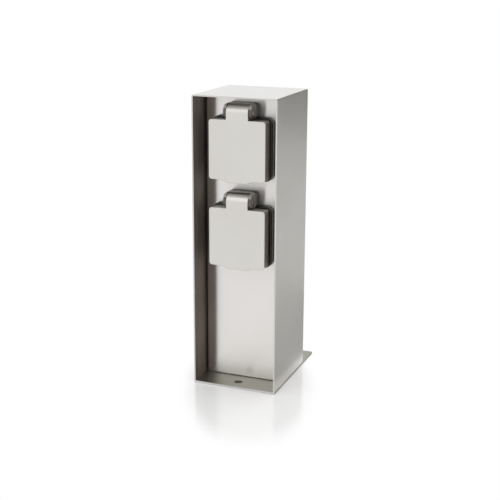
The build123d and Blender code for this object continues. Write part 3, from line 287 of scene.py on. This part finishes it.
def make_finishes():
    """Every finish of the post, by the name that the pieces use."""
    made = {}
    # Brushed stainless steel of the folded casing: a pale warm grey. Its grain runs across the walls, so
    # reflections are drawn out up and down. The real grain is under 0.1 mm wide, and is drawn 0.6 mm wide.
    made["casing"] = brushed_steel("brushed_stainless_steel", ("#CECBC7", "#D5D2CF"), (0.266, 0.272),
                                   (50.0, 50.0, 0.6), 0.00003, 0.6, streaky=1.0)
    # The roof is the same sheet, seen at a low angle, with an even soft sheen.
    made["roof"] = brushed_steel("brushed_stainless_roof", ("#CECDCB", "#D6D5D3"), (0.28, 0.29),
                                 (0.6, 50.0, 50.0), 0.00005, streaky=1.0)
    # The front panel mirrors the dark wall beside it in a sharp upright band.
    made["panel"] = brushed_steel("fine_brushed_stainless_steel", ("#E1DEDB", "#E3E0DD"), (0.246, 0.252),
                                  (50.0, 50.0, 0.6), 0.00002, 0.95)
    # Painted reflection: the inner side of the left wall and its cut front edge get a dark brown tone with
    # upright streaks, which stands in for the dark room that this steel mirrors.
    made["inner"] = brushed_steel("steel_painted_dark_reflection", ("#554B44", "#6E635A"), (0.40, 0.48),
                                  (1.8, 1.8, 160.0), 0.002, 0.6, 0.3, 0.3, 1.0)
    # The base plate's steel is duller and slightly green, with grain across the plate; its darker green tone
    # is partly painted shade and reflection of its place low between the walls.
    made["base"] = brushed_steel("rolled_stainless_steel", ("#B0B0A7", "#BBBAB1"), (0.34, 0.40),
                                 (30.0, 0.8, 0.8), 0.001, 0.0, 0.45, 1.0, 1.0)
    # Painted highlight: where the lid's sheet is rolled over the hinge, its upward faces get a paler, less
    # shiny tone that looks almost white and stands in for the light the roll catches.
    made["roll"] = brushed_steel("satin_steel_painted_roll_highlight", ("#DAD7D2", "#DEDBD6"), (0.40, 0.44),
                                 (14.0, 14.0, 0.5), 0.0003, 0.0, 1.0, 0.45)
    # Satin stainless steel of the lids: a beige silver, nearly even, with a very fine grain.
    made["lid"] = brushed_steel("satin_stainless_steel", ("#D6D3CE", "#D9D7D2"), (0.28, 0.30),
                                (14.0, 14.0, 0.5), 0.0003, 0.3)
    # Zinc plated steel: bluish silver with small clouds.
    made["zinc"] = plated("zinc_plated_steel", ("#B9BDC0", "#D2D5D6"), (0.28, 0.4), 1.6, 0.006)
    # Stainless spring strip and wire: darker and smoother than the plated parts.
    made["spring"] = plated("spring_steel", ("#A7A49E", "#C2BFB9"), (0.2, 0.27), 1.2, 0.003)
    # Ground stainless pin: smooth and bright.
    made["pin"] = plated("ground_stainless_steel", ("#BDBBB7", "#CFCDC9"), (0.14, 0.22), 1.0, 0.002)
    # Turned brass: warm yellow, with a slight tarnish in clouds.
    made["brass"] = plated("turned_brass", ("#B08A45", "#C9A45A"), (0.28, 0.38), 1.5, 0.004)
    # Brown-grey polycarbonate of the lid's back and the hinge housing: even, with a low satin gloss.
    made["dark"] = moulded("dark_polycarbonate", ("#584E43", "#5C5246"), (0.30, 0.36), 0.5, 0.0003, IOR=1.5)
    # The lid back's sides get a paler tone, a painted light that stands in for the light thrown onto them
    # from beside.
    made["side"] = moulded("polycarbonate_painted_side_light", ("#6E6457", "#756A5C"), (0.28, 0.34), 0.5, 0.0003, IOR=1.5)
    # Upward faces of the lid's back and of the hinge housing get a pale grey-green tone, a painted sheen that
    # stands in for the bright light they mirror from above.
    made["painted_sheen"] = moulded("polycarbonate_painted_top_sheen", ("#A3A095", "#AFACA1"),
                            (0.30, 0.36), 0.5, 0.0004, IOR=1.5)
    # The flange's rim is the same plastic in a blacker tone, which is painted shade of the gap behind the
    # lid.
    made["rim"] = moulded("polycarbonate_painted_gap_shade", ("#14110D", "#17140F"), (0.36, 0.42), 0.5, 0.0003, IOR=1.5)
    # Grey polyamide inserts: matt, with a mould's fine spark texture.
    made["grey"] = moulded("grey_polyamide", ("#5C5C5A", "#686866"), (0.42, 0.54), 0.5, 0.006, IOR=1.53)
    # Pale polyamide of the terminal block.
    made["terminal"] = moulded("pale_polyamide", ("#CFCBBF", "#DAD6CB"), (0.4, 0.52), 0.6, 0.005, IOR=1.53)
    # EPDM rubber: dull black with a soft bloom.
    made["rubber"] = moulded("epdm_rubber", ("#191918", "#252524"), (0.62, 0.78), 0.5, 0.008, IOR=1.52)
    made["wires"] = wire_covers()
    return made


SLOT_FINISH = {"casing_steel": "casing", "lid_steel": "lid", "dark_plastic": "dark", "grey_plastic": "grey",
               "terminal_plastic": "terminal", "wire_cover": "wires", "rubber": "rubber", "brass": "brass",
               "zinc_steel": "zinc", "pin_steel": "pin", "spring_steel": "spring"}
finishes = make_finishes()
node_slot = {s["node"]: s["material_slot"] for s in frame["record"]["subparts"]}


def finish_cad_nodes():
    """Gives every CAD node the finish of its slot in the record; the panel's folds match the panel."""
    for name, node in frame["nodes"].items():
        finish = finishes["panel" if name == "panel_folds" else SLOT_FINISH[node_slot[name]]]
        if not node.material_slots:
            node.data.materials.append(finish)
        for slot in node.material_slots:
            slot.material = finish


# Pieces

def make_plain(piece):
    """Turns a piece's modifiers into plain mesh."""
    view = bpy.context.evaluated_depsgraph_get()
    mesh = bpy.data.meshes.new_from_object(piece.evaluated_get(view), depsgraph=view)
    piece.modifiers.clear()
    piece.data = mesh
    mesh.name = piece.name


def settle(piece):
    """Makes a piece plain mesh, smooth but for its sharp edges, with flat faces that shade flat."""
    make_plain(piece)
    piece.data.shade_smooth()
    piece.data.set_sharp_from_angle(angle=SHARP_ANGLE)
    flat = piece.modifiers.new("flat_faces", "WEIGHTED_NORMAL")
    flat.keep_sharp = True
    make_plain(piece)


def round_edges(piece, width, steps=2):
    """Rounds a piece's sharp edges by a width in millimetres, and leaves it plain mesh."""
    bevel = piece.modifiers.new("rounding", "BEVEL")
    bevel.width = width * MM
    bevel.segments = steps
    bevel.limit_method = "ANGLE"
    bevel.angle_limit = SHARP_ANGLE
    settle(piece)


def new_piece(name, mesh, finish=None):
    """An object at the origin in the scene, with one finish."""
    piece = bpy.data.objects.new(name, mesh)
    bpy.context.scene.collection.objects.link(piece)
    if finish:
        mesh.materials.clear()
        mesh.materials.append(finishes[finish])
    return piece


def rounded(node, name, edge, finish, steps=2, seam=None):
    """A copy of a CAD node with its sharp edges rounded, which stands for the node.

    Its faces are parted, but not moved, where they cross a seam at one Y in millimetres.
    """
    mesh = bpy.data.meshes.new(name)
    work = bmesh.new()
    work.from_mesh(frame["nodes"][node].data)
    bmesh.ops.remove_doubles(work, verts=work.verts, dist=WELD * MM)
    bmesh.ops.dissolve_limit(work, angle_limit=FLAT_ANGLE, verts=work.verts, edges=work.edges)
    if seam is not None:
        bmesh.ops.bisect_plane(work, geom=work.verts[:] + work.edges[:] + work.faces[:],
                               plane_co=(0.0, seam * MM, 0.0), plane_no=(0.0, 1.0, 0.0))
    work.to_mesh(mesh)
    work.free()
    piece = new_piece(name, mesh, finish)
    round_edges(piece, edge, steps)
    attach(piece, frame["nodes"][node]["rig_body"])
    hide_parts(node)
    return piece


def finish_faces(piece, finish, wanted):
    """Gives a finish to the faces that wanted picks by their middle in millimetres and their normal."""
    mesh = piece.data
    mesh.materials.append(finishes[finish])
    for face in mesh.polygons:
        if wanted(face.center / MM, face.normal):
            face.material_index = len(mesh.materials) - 1


def painted_dark_side(centre, normal):
    """The left wall's inner side and its cut front edge, which get a painted dark reflection."""
    return centre.x < EDGE_BAND - INNER_X and (normal.x > SQUARE or normal.y < -SQUARE)


def sheet_pieces():
    """The folded casing, the front panel, the rear panel and the base plate."""
    casing = rounded("outer_casing", "folded_casing", SHEET_EDGE, "casing")
    # The left wall's inner side and cut front edge get a painted dark reflection.
    finish_faces(casing, "inner", painted_dark_side)
    finish_faces(casing, "roof", lambda centre, normal: abs(normal.z) > SQUARE)
    rounded("front_panel", "recessed_panel", SHEET_EDGE, "panel")
    rounded("rear_panel", "rear_cover", SHEET_EDGE, "casing")
    base = rounded("base_plate", "drilled_base", SHEET_EDGE, "base")
    # The base's front edge gets the paler roof steel, a painted highlight along that edge.
    finish_faces(base, "roof", lambda centre, normal: (
        normal.y < -BASE_FRONT_FACING and centre.y < EDGE_BAND - BASE_REACH))


def socket_parts():
    """The flange, lid and inner pieces of both sockets."""
    for level, z in SOCKET_Z.items():
        lid_top = z + LID_HALF - EDGE_BAND
        front = FLANGE_Y - SEAM_BAND
        body = rounded(f"{level}_socket_body", f"{level}_flange_and_housing", MOULD_EDGE, "dark",
                       seam=FLANGE_Y)
        # The flange behind the lid gets a blacker tone, painted shade of the gap.
        finish_faces(body, "rim", lambda centre, normal: centre.y > front)
        # Upward faces of the hinge housing get a painted sheen.
        finish_faces(body, "painted_sheen", lambda centre, normal: (
            normal.z > HOUSING_TOP_FACING and centre.y < front))
        plate = rounded(f"{level}_lid_plate", f"{level}_lid_face", LID_EDGE, "lid", 3)
        # The plate's downward faces get the dark plastic tone, a painted shadow line under the lid's lower
        # edge.
        finish_faces(plate, "dark", lambda centre, normal: normal.z < -LID_UNDER_FACING)
        # The roll's upward faces get a painted highlight.
        finish_faces(plate, "roll", lambda centre, normal: (
            normal.z > ROLL_TOP_FACING and normal.y < ROLL_BACK_FACING))
        back = rounded(f"{level}_lid_body", f"{level}_lid_back", MOULD_EDGE, "dark")
        # The lid back's sides get a painted light.
        finish_faces(back, "side", lambda centre, normal: abs(normal.x) > LID_BACK_FACING)
        # Upward faces of the lid's back get a painted sheen.
        finish_faces(back, "painted_sheen", lambda centre, normal: (
            normal.z > LID_BACK_FACING and centre.z > lid_top))
        rounded(f"{level}_lid_seal", f"{level}_lid_seal_ring", SEAL_EDGE, "rubber", 3)
        rounded(f"{level}_socket_insert", f"{level}_well_floor", TRIM_EDGE, "grey")
        rounded(f"{level}_shutter", f"{level}_shutter_disc_face", TRIM_EDGE, "grey")
        rounded(f"{level}_flange_gasket", f"{level}_gasket", GASKET_EDGE, "rubber")
        rounded(f"{level}_hinge_pin", f"{level}_pin", PIN_EDGE, "pin")


# Repeated pieces, grown with Geometry Nodes

def new_tree(name, inputs):
    """A Geometry Nodes tree with named inputs; inputs gives each one's kind of socket."""
    tree = bpy.data.node_groups.new(name, "GeometryNodeTree")
    tree.interface.new_socket("Geometry", in_out="INPUT", socket_type="NodeSocketGeometry")
    for label, kind in inputs.items():
        tree.interface.new_socket(label, in_out="INPUT", socket_type=kind)
    tree.interface.new_socket("Geometry", in_out="OUTPUT", socket_type="NodeSocketGeometry")
    return tree, tree.nodes.new("NodeGroupInput").outputs, tree.nodes.new("NodeGroupOutput")


def end_tree(tree, geometry, given, last):
    """Makes the tree's instances real, gives them their material, and sends them out."""
    real = add(tree, "GeometryNodeRealizeInstances", {0: geometry})
    dressed = add(tree, "GeometryNodeSetMaterial", {"Geometry": real.outputs[0],
                                                    "Material": given["Material"]})
    tree.links.new(dressed.outputs[0], last.inputs[0])


def grown(name, tree, points, values, body, replaced):
    """A plain mesh piece grown by a tree from a mesh of points in millimetres."""
    mesh = bpy.data.meshes.new(name)
    mesh.from_pydata([metres(p) for p in points], [], [])
    piece = new_piece(name, mesh)
    modifier = piece.modifiers.new("growth", "NODES")
    modifier.node_group = tree
    for item in tree.interface.items_tree:
        if item.in_out == "INPUT" and item.name in values:
            modifier[item.identifier] = values[item.name]
    settle(piece)
    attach(piece, body)
    if replaced:
        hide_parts(*replaced)


def combine(tree, x=0.0, y=0.0, z=0.0):
    """A vector made of numbers or sockets."""
    return add(tree, "ShaderNodeCombineXYZ", {0: x, 1: y, 2: z}).outputs[0]


def cross_screw_tree():
    """Screws with a cross recess; each point of the mesh is the middle of a head's face."""
    size = "NodeSocketFloat"
    tree, given, last = new_tree("cross_screws", {
        "Head Radius": size, "Under Radius": size, "Head Height": size, "Edge Drop": size,
        "Shank Radius": size, "Shank Length": size, "Recess Length": size, "Recess Width": size,
        "Recess Depth": size, "Turn": "NodeSocketVector", "Seed": "NodeSocketInt",
        "Material": "NodeSocketMaterial"})
    head = add(tree, "GeometryNodeMeshCone", {
        "Vertices": SCREW_SIDES, "Side Segments": 2, "Fill Segments": 8, "Radius Top": given["Head Radius"],
        "Radius Bottom": given["Under Radius"], "Depth": given["Head Height"]}, fill_type="TRIANGLE_FAN")
    place = add(tree, "GeometryNodeInputPosition").outputs[0]
    parts = add(tree, "ShaderNodeSeparateXYZ", {0: place}).outputs
    out = number(tree, "SQRT", number(tree, "ADD", number(tree, "MULTIPLY", parts[0], parts[0]),
                                      number(tree, "MULTIPLY", parts[1], parts[1])))
    share = number(tree, "POWER", number(tree, "DIVIDE", out, given["Head Radius"]), HEAD_DOME_POWER)
    high = number(tree, "GREATER_THAN", parts[2],
                  number(tree, "MULTIPLY", given["Head Height"], HEAD_TOP_SHARE))
    drop = number(tree, "MULTIPLY", number(tree, "MULTIPLY", share, given["Edge Drop"]), -1.0)
    domed = add(tree, "GeometryNodeSetPosition", {"Geometry": head.outputs["Mesh"], "Selection": high,
                                                  "Offset": combine(tree, z=drop)})
    down = number(tree, "MULTIPLY", given["Head Height"], -1.0)
    lowered = add(tree, "GeometryNodeTransform", {"Geometry": domed.outputs[0],
                                                  "Translation": combine(tree, z=down)})
    deep = number(tree, "MULTIPLY", given["Recess Depth"], 2.0)
    bars = add(tree, "GeometryNodeJoinGeometry")
    for x, y in (("Recess Length", "Recess Width"), ("Recess Width", "Recess Length")):
        bar = add(tree, "GeometryNodeMeshCube", {"Size": combine(tree, given[x], given[y], deep)})
        tree.links.new(bar.outputs[0], bars.inputs[0])
    cut = add(tree, "GeometryNodeMeshBoolean", {0: lowered.outputs[0], 1: bars.outputs[0]},
              operation="DIFFERENCE", solver="EXACT")
    shank = add(tree, "GeometryNodeMeshCylinder", {
        "Vertices": SCREW_SIDES // 2, "Radius": given["Shank Radius"], "Depth": given["Shank Length"]})
    middle = number(tree, "SUBTRACT", number(tree, "MULTIPLY", given["Shank Length"], -0.5),
                    given["Head Height"])
    set_in = add(tree, "GeometryNodeTransform", {"Geometry": shank.outputs[0],
                                                 "Translation": combine(tree, z=middle)})
    whole = add(tree, "GeometryNodeJoinGeometry", {0: cut.outputs[0]})
    tree.links.new(set_in.outputs[0], whole.inputs[0])
    spread = add(tree, "GeometryNodeInstanceOnPoints", {
        "Points": given["Geometry"], "Instance": whole.outputs[0], "Rotation": given["Turn"]})
    chance = add(tree, "FunctionNodeRandomValue", {"Max": combine(tree, z=math.pi), "Seed": given["Seed"]},
                 data_type="FLOAT_VECTOR")
    driven = add(tree, "GeometryNodeRotateInstances", {"Instances": spread.outputs[0],
                                                       "Rotation": chance.outputs[0]})
    end_tree(tree, driven.outputs[0], given, last)
    return tree


def spring_tree():
    """A wire coil along X round the origin point, from its first to its last turn."""
    size = "NodeSocketFloat"
    tree, given, last = new_tree("wire_coil", {
        "Coil Radius": size, "Wire Radius": size, "Length": size, "Turns": size, "Start": size,
        "Material": "NodeSocketMaterial"})
    spiral = add(tree, "GeometryNodeCurveSpiral", {
        "Resolution": SPRING_STEPS, "Rotations": given["Turns"], "Start Radius": given["Coil Radius"],
        "End Radius": given["Coil Radius"], "Height": given["Length"]})
    ring = add(tree, "GeometryNodeCurvePrimitiveCircle", {"Resolution": SPRING_WIRE_SIDES,
                                                          "Radius": given["Wire Radius"]})
    wire = add(tree, "GeometryNodeCurveToMesh", {"Curve": spiral.outputs[0], "Profile Curve": ring.outputs[0],
                                                 "Fill Caps": True})
    lying = add(tree, "GeometryNodeTransform", {
        "Geometry": wire.outputs[0], "Rotation": combine(tree, given["Start"], math.pi / 2, 0.0)})
    spread = add(tree, "GeometryNodeInstanceOnPoints", {"Points": given["Geometry"],
                                                        "Instance": lying.outputs[0]})
    end_tree(tree, spread.outputs[0], given, last)
    return tree


def rib_tree():
    """Moulded stiffening ribs that stand round a lid's seal ring, one towards each corner."""
    size = "NodeSocketFloat"
    tree, given, last = new_tree("lid_ribs", {
        "Count": "NodeSocketInt", "Inner Radius": size, "Length": size, "Thickness": size, "Height": size,
        "Material": "NodeSocketMaterial"})
    bar = add(tree, "GeometryNodeMeshCube", {"Size": combine(tree, given["Length"], given["Thickness"],
                                                             given["Height"])})
    out = number(tree, "ADD", given["Inner Radius"], number(tree, "MULTIPLY", given["Length"], 0.5))
    moved = add(tree, "GeometryNodeTransform", {"Geometry": bar.outputs[0],
                                                "Translation": combine(tree, out)})
    ring = add(tree, "GeometryNodeMeshCircle", {"Vertices": given["Count"], "Radius": 0.0})
    index = add(tree, "GeometryNodeInputIndex").outputs[0]
    step = number(tree, "DIVIDE", 2 * math.pi, given["Count"])
    angle = number(tree, "MULTIPLY", number(tree, "ADD", index, 0.5), step)
    star = add(tree, "GeometryNodeInstanceOnPoints", {"Points": ring.outputs[0], "Instance": moved.outputs[0],
                                                      "Rotation": combine(tree, z=angle)})
    upright = add(tree, "GeometryNodeTransform", {"Geometry": star.outputs[0],
                                                  "Rotation": combine(tree, math.pi / 2)})
    spread = add(tree, "GeometryNodeInstanceOnPoints", {"Points": given["Geometry"],
                                                        "Instance": upright.outputs[0]})
    end_tree(tree, spread.outputs[0], given, last)
    return tree


def screws():
    """The flange screws, the rear panel's screws and the base's countersunk screws."""
    tree = cross_screw_tree()
    countersunk = {"Head Radius": 3.4 * MM, "Under Radius": 1.75 * MM, "Head Height": 1.8 * MM,
                   "Edge Drop": 0.0, "Shank Radius": 1.75 * MM, "Shank Length": 10.0 * MM,
                   "Recess Length": 3.8 * MM, "Recess Width": 0.8 * MM, "Recess Depth": 1.1 * MM,
                   "Turn": (math.pi / 2, 0.0, 0.0), "Seed": 3, "Material": finishes["zinc"]}
    for level, z in SOCKET_Z.items():
        points = [(sx * PITCH_HALF, FLANGE_Y + HEAD_SINK, z + sz * PITCH_HALF)
                  for sx in (-1, 1) for sz in (-1, 1)]
        grown(f"{level}_cross_screws", tree, points, countersunk, "post",
              [f"{level}_flange_screws"])
    pan = dict(countersunk, **{"Head Radius": 3.8 * MM, "Under Radius": 3.8 * MM, "Head Height": 2.4 * MM,
                               "Edge Drop": 0.9 * MM, "Shank Radius": 2.0 * MM, "Shank Length": 8.0 * MM,
                               "Recess Length": 4.4 * MM, "Recess Width": 1.0 * MM, "Recess Depth": 1.5 * MM,
                               "Turn": (-math.pi / 2, 0.0, 0.0), "Seed": 5})
    points = [(side * REAR_SCREW_X, REAR_HEAD_Y, z) for side in (-1, 1) for z in REAR_SCREW_Z]
    grown("rear_pan_screws", tree, points, pan, "post", ["rear_screws"])
    under = dict(countersunk, **{"Head Radius": 3.7 * MM, "Under Radius": 2.0 * MM, "Head Height": 1.5 * MM,
                                 "Shank Radius": 2.0 * MM, "Shank Length": 6.4 * MM,
                                 "Recess Length": 4.2 * MM, "Recess Depth": 1.0 * MM,
                                 "Turn": (math.pi, 0.0, 0.0), "Seed": 8})
    points = [(side * x, y, HEAD_SINK) for side in (-1, 1) for x, y in BASE_SCREWS]
    grown("base_countersunk_screws", tree, points, under, "post", ["base_screws"])


def rod(name, start, end, radius, finish, body, sides=16):
    """A straight piece of wire with rounded ends, between two points in millimetres."""
    line = metres(end) - metres(start)
    mesh = bpy.data.meshes.new(name)
    work = bmesh.new()
    turn = line.to_track_quat("Z", "Y").to_matrix().to_4x4()
    middle = Matrix.Translation((metres(start) + metres(end)) / 2)
    bmesh.ops.create_cone(work, cap_ends=True, segments=sides, radius1=radius * MM, radius2=radius * MM,
                          depth=line.length, matrix=middle @ turn)
    work.to_mesh(mesh)
    work.free()
    piece = new_piece(name, mesh, finish)
    round_edges(piece, radius * WIRE_END_SHARE)
    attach(piece, body)


def lid_springs():
    """A coil with its hook on the post, and the leg that rides in the lid."""
    tree = spring_tree()
    for level, z in SOCKET_Z.items():
        hinge_z = z + HINGE_RISE
        values = {"Coil Radius": SPRING_R * MM, "Wire Radius": SPRING_WIRE_R * MM,
                  "Length": (SPRING_X[1] - SPRING_X[0]) * MM, "Turns": SPRING_TURNS, "Start": 0.0,
                  "Material": finishes["spring"]}
        grown(f"{level}_spring_coil", tree, [(SPRING_X[0], HINGE_Y, hinge_z)], values, "post",
              [f"{level}_lid_spring"])
        rod(f"{level}_spring_hook", (SPRING_HOOK_X, HINGE_Y, hinge_z + SPRING_R),
            (SPRING_X[0], HINGE_Y, hinge_z + SPRING_R), SPRING_WIRE_R, "spring", "post")
        rod(f"{level}_spring_leg", (SPRING_X[1], HINGE_Y - SPRING_R, hinge_z),
            (SPRING_X[1], HINGE_Y - SPRING_R, hinge_z - SPRING_LEG), SPRING_WIRE_R, "spring",
            f"{level}_lid")


def cut_piece(node, name, y, side, body):
    """The part of a CAD node on one side of a plane across Y: side is 1 behind it and -1 in front."""
    mesh = bpy.data.meshes.new(name)
    work = bmesh.new()
    work.from_mesh(frame["nodes"][node].data)
    bmesh.ops.remove_doubles(work, verts=work.verts, dist=WELD * MM)
    bmesh.ops.bisect_plane(work, geom=work.verts[:] + work.edges[:] + work.faces[:], plane_co=(0.0, y, 0.0),
                           plane_no=(0.0, -side, 0.0), clear_outer=True)
    bmesh.ops.holes_fill(work, edges=[e for e in work.edges if e.is_boundary])
    work.to_mesh(mesh)
    work.free()
    piece = new_piece(name, mesh, "spring")
    settle(piece)
    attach(piece, body)
    return piece


def shutter_springs():
    """Each shutter spring in two: its coil stays on the post, and its hook turns with the shutter."""
    for level in SOCKET_Z:
        disc, node = frame["nodes"][f"{level}_shutter"], f"{level}_shutter_spring"
        rear = max(v.co.y for v in disc.data.vertices) + SPRING_CUT * MM
        coil = cut_piece(node, f"{level}_shutter_coil", rear, 1, frame["nodes"][node]["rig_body"])
        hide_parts(node)
        cut_piece(node, f"{level}_shutter_hook", rear, -1, disc["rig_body"])


def lid_ribs():
    """Ribs in each lid's corners, behind its steel face."""
    tree = rib_tree()
    for level, z in SOCKET_Z.items():
        values = dict(RIB_SIZES, Material=finishes["dark"])
        grown(f"{level}_corner_ribs", tree, [(0.0, RIB_Y, z)], values, f"{level}_lid", [])


# Studio: floor, lamps, mirror cards and camera

FLOOR_REACH = 4000.0
# The floor keeps its shadow and its mirror image inside an oval that is turned towards the camera
FLOOR_OVAL_MIDDLE = (9.0, -39.5, 0.0)
FLOOR_OVAL_HALF = (50.0, 105.0, 100.0)
FLOOR_OVAL_FADE = (0.85, 1.25)
# Height of a card of painted shadow under the base plate
SHADOW_CARD_Z = 0.05
WORLD_LIGHT = 0.9

# Soft boxes: name, place, target, width, height and power in watts
LAMPS = (
    ("front_strip", (-330, -905, 990), (0, 0, 120), 700, 300, 1.0),
    ("left_box", (-1100, -1000, 800), (0, 0, 120), 1200, 1200, 1.5),
    ("back_box", (-700, 1500, 850), (0, 0, 250), 1100, 1100, 0.4),
    ("right_strip", (450, -170, 205), (0, -30, 150), 80, 400, 0.5),
)


def level_corners(x0, x1, y0, y1, z):
    """The corners of a level card, in the order that makes it face up."""
    return [(x0, y0, z), (x1, y0, z), (x1, y1, z), (x0, y1, z)]


def flat_card(name, corners, finish):
    """A flat card of four corners in millimetres, with a material."""
    mesh = bpy.data.meshes.new(name)
    mesh.from_pydata([metres(c) for c in corners], [], [range(4)])
    card = bpy.data.objects.new(name, mesh)
    bpy.context.scene.collection.objects.link(card)
    mesh.materials.append(finish)
    return card


def floor_finish():
    """A pale glossy floor that fades to plain white away from the post, for the camera and for mirrors."""
    material, tree, shader = start_finish("pale_floor", {"Base Color": tone("#FAFAFA"), "Roughness": 0.12,
                                                         "IOR": 1.62})
    place = add(tree, "ShaderNodeTexCoord").outputs["Object"]
    oval = add(tree, "ShaderNodeMapping", {
        "Vector": place, "Location": metres(FLOOR_OVAL_MIDDLE), "Rotation": (0.0, 0.0, CAMERA_YAW),
        "Scale": metres(FLOOR_OVAL_HALF)}, vector_type="TEXTURE").outputs[0]
    away = add(tree, "ShaderNodeVectorMath", {0: oval}, operation="LENGTH").outputs["Value"]
    fade = add(tree, "ShaderNodeMapRange", {"Value": away, "From Min": FLOOR_OVAL_FADE[0],
                                            "From Max": FLOOR_OVAL_FADE[1]}, interpolation_type="SMOOTHSTEP")
    ray = add(tree, "ShaderNodeLightPath").outputs
    seen = number(tree, "MAXIMUM", ray["Is Camera Ray"], ray["Is Glossy Ray"])
    white = add(tree, "ShaderNodeEmission", {"Color": (1.0, 1.0, 1.0, 1.0), "Strength": 1.0})
    share = number(tree, "MULTIPLY", fade.outputs["Result"], seen)
    mixed = add(tree, "ShaderNodeMixShader", {0: share, 1: shader.outputs[0], 2: white.outputs[0]})
    tree.links.new(mixed.outputs[0], tree.nodes["Material Output"].inputs["Surface"])
    return material


def studio_world():
    """White where the camera, a mirror or glass sees it, and a softer level as light."""
    world = bpy.data.worlds.new("studio")
    bpy.context.scene.world = world
    world.use_nodes = True
    tree = world.node_tree
    ray = add(tree, "ShaderNodeLightPath").outputs
    seen = number(tree, "MAXIMUM", number(tree, "MAXIMUM", ray["Is Camera Ray"], ray["Is Glossy Ray"]),
                  ray["Is Transmission Ray"])
    strength = add(tree, "ShaderNodeMapRange", {"Value": seen, "To Min": WORLD_LIGHT, "To Max": 1.0})
    shade = tree.nodes["Background"]
    shade.inputs["Color"].default_value = (1.0, 1.0, 1.0, 1.0)
    tree.links.new(strength.outputs[0], shade.inputs["Strength"])


def soft_lamp(name, place, target, width, height, power):
    """A soft box at a place in millimetres, facing a target."""
    light = bpy.data.lights.new(name, "AREA")
    light.shape = "RECTANGLE"
    light.size = width * MM
    light.size_y = height * MM
    light.energy = power
    lamp = bpy.data.objects.new(name, light)
    bpy.context.scene.collection.objects.link(lamp)
    lamp.location = metres(place)
    lamp.rotation_euler = (metres(target) - metres(place)).to_track_quat("-Z", "Y").to_euler()


def mirror_card(name, corners, colour):
    """A matt card beside the post that only mirrors see, and only from its front."""
    cloth, tree, shader = start_finish(name, {"Base Color": tone(colour), "Roughness": 0.9,
                                              "Specular IOR Level": 0.0})
    behind = add(tree, "ShaderNodeNewGeometry").outputs["Backfacing"]
    clear = add(tree, "ShaderNodeBsdfTransparent")
    mixed = add(tree, "ShaderNodeMixShader", {0: behind, 1: shader.outputs[0], 2: clear.outputs[0]})
    tree.links.new(mixed.outputs[0], tree.nodes["Material Output"].inputs["Surface"])
    card = flat_card(name, corners, cloth)
    card.visible_camera = False
    card.visible_diffuse = False
    card.visible_shadow = False


def light_studio():
    """Floor, world and soft boxes, with grey cards at the right that keep the side wall a tone darker, and a
    card of painted shadow under the base.
    """
    flat_card("studio_floor", level_corners(-FLOOR_REACH, FLOOR_REACH, -FLOOR_REACH, FLOOR_REACH, 0),
              floor_finish())
    # A card of painted shadow under the base plate, seen through its hole.
    shadow_cloth, _, _ = start_finish("painted_shadow_card", {"Base Color": tone("#77756B"), "Roughness": 0.9})
    flat_card("shadow_card_under_base",
              level_corners(-BASE_HALF, BASE_HALF, -BASE_REACH, BASE_REACH, SHADOW_CARD_Z), shadow_cloth)
    studio_world()
    for lamp in LAMPS:
        soft_lamp(*lamp)
    mirror_card("right_floor_card", level_corners(44, 900, -60, 1300, 1), "#DCDCDA")
    mirror_card("right_near_card", level_corners(44, 125, -60, 240, 2), "#C2C2C0")
    mirror_card("right_far_card", [(37, 1300, 1), (1100, 1300, 1), (1100, 1300, 900), (37, 1300, 900)],
                "#A0A09E")


def set_camera():
    """The photograph's view: its place, direction and focal length."""
    data = bpy.data.cameras.new("photo_view")
    data.sensor_width = SENSOR
    data.lens = FOCAL_PX * SENSOR / FRAME_PX
    data.clip_start, data.clip_end = CAMERA_CLIP
    camera = bpy.data.objects.new("photo_view", data)
    bpy.context.scene.collection.objects.link(camera)
    camera.matrix_world = (Matrix.Translation(metres(CAMERA_PLACE)) @ Matrix.Rotation(CAMERA_YAW, 4, "Z")
                           @ Matrix.Rotation(math.pi / 2 - CAMERA_PITCH, 4, "X")
                           @ Matrix.Rotation(CAMERA_ROLL, 4, "Z"))
    bpy.context.scene.camera = camera


set_camera()
light_studio()
finish_cad_nodes()
sheet_pieces()
socket_parts()
screws()
lid_springs()
shutter_springs()
lid_ribs()
bpy.context.scene.view_settings.view_transform = "Standard"
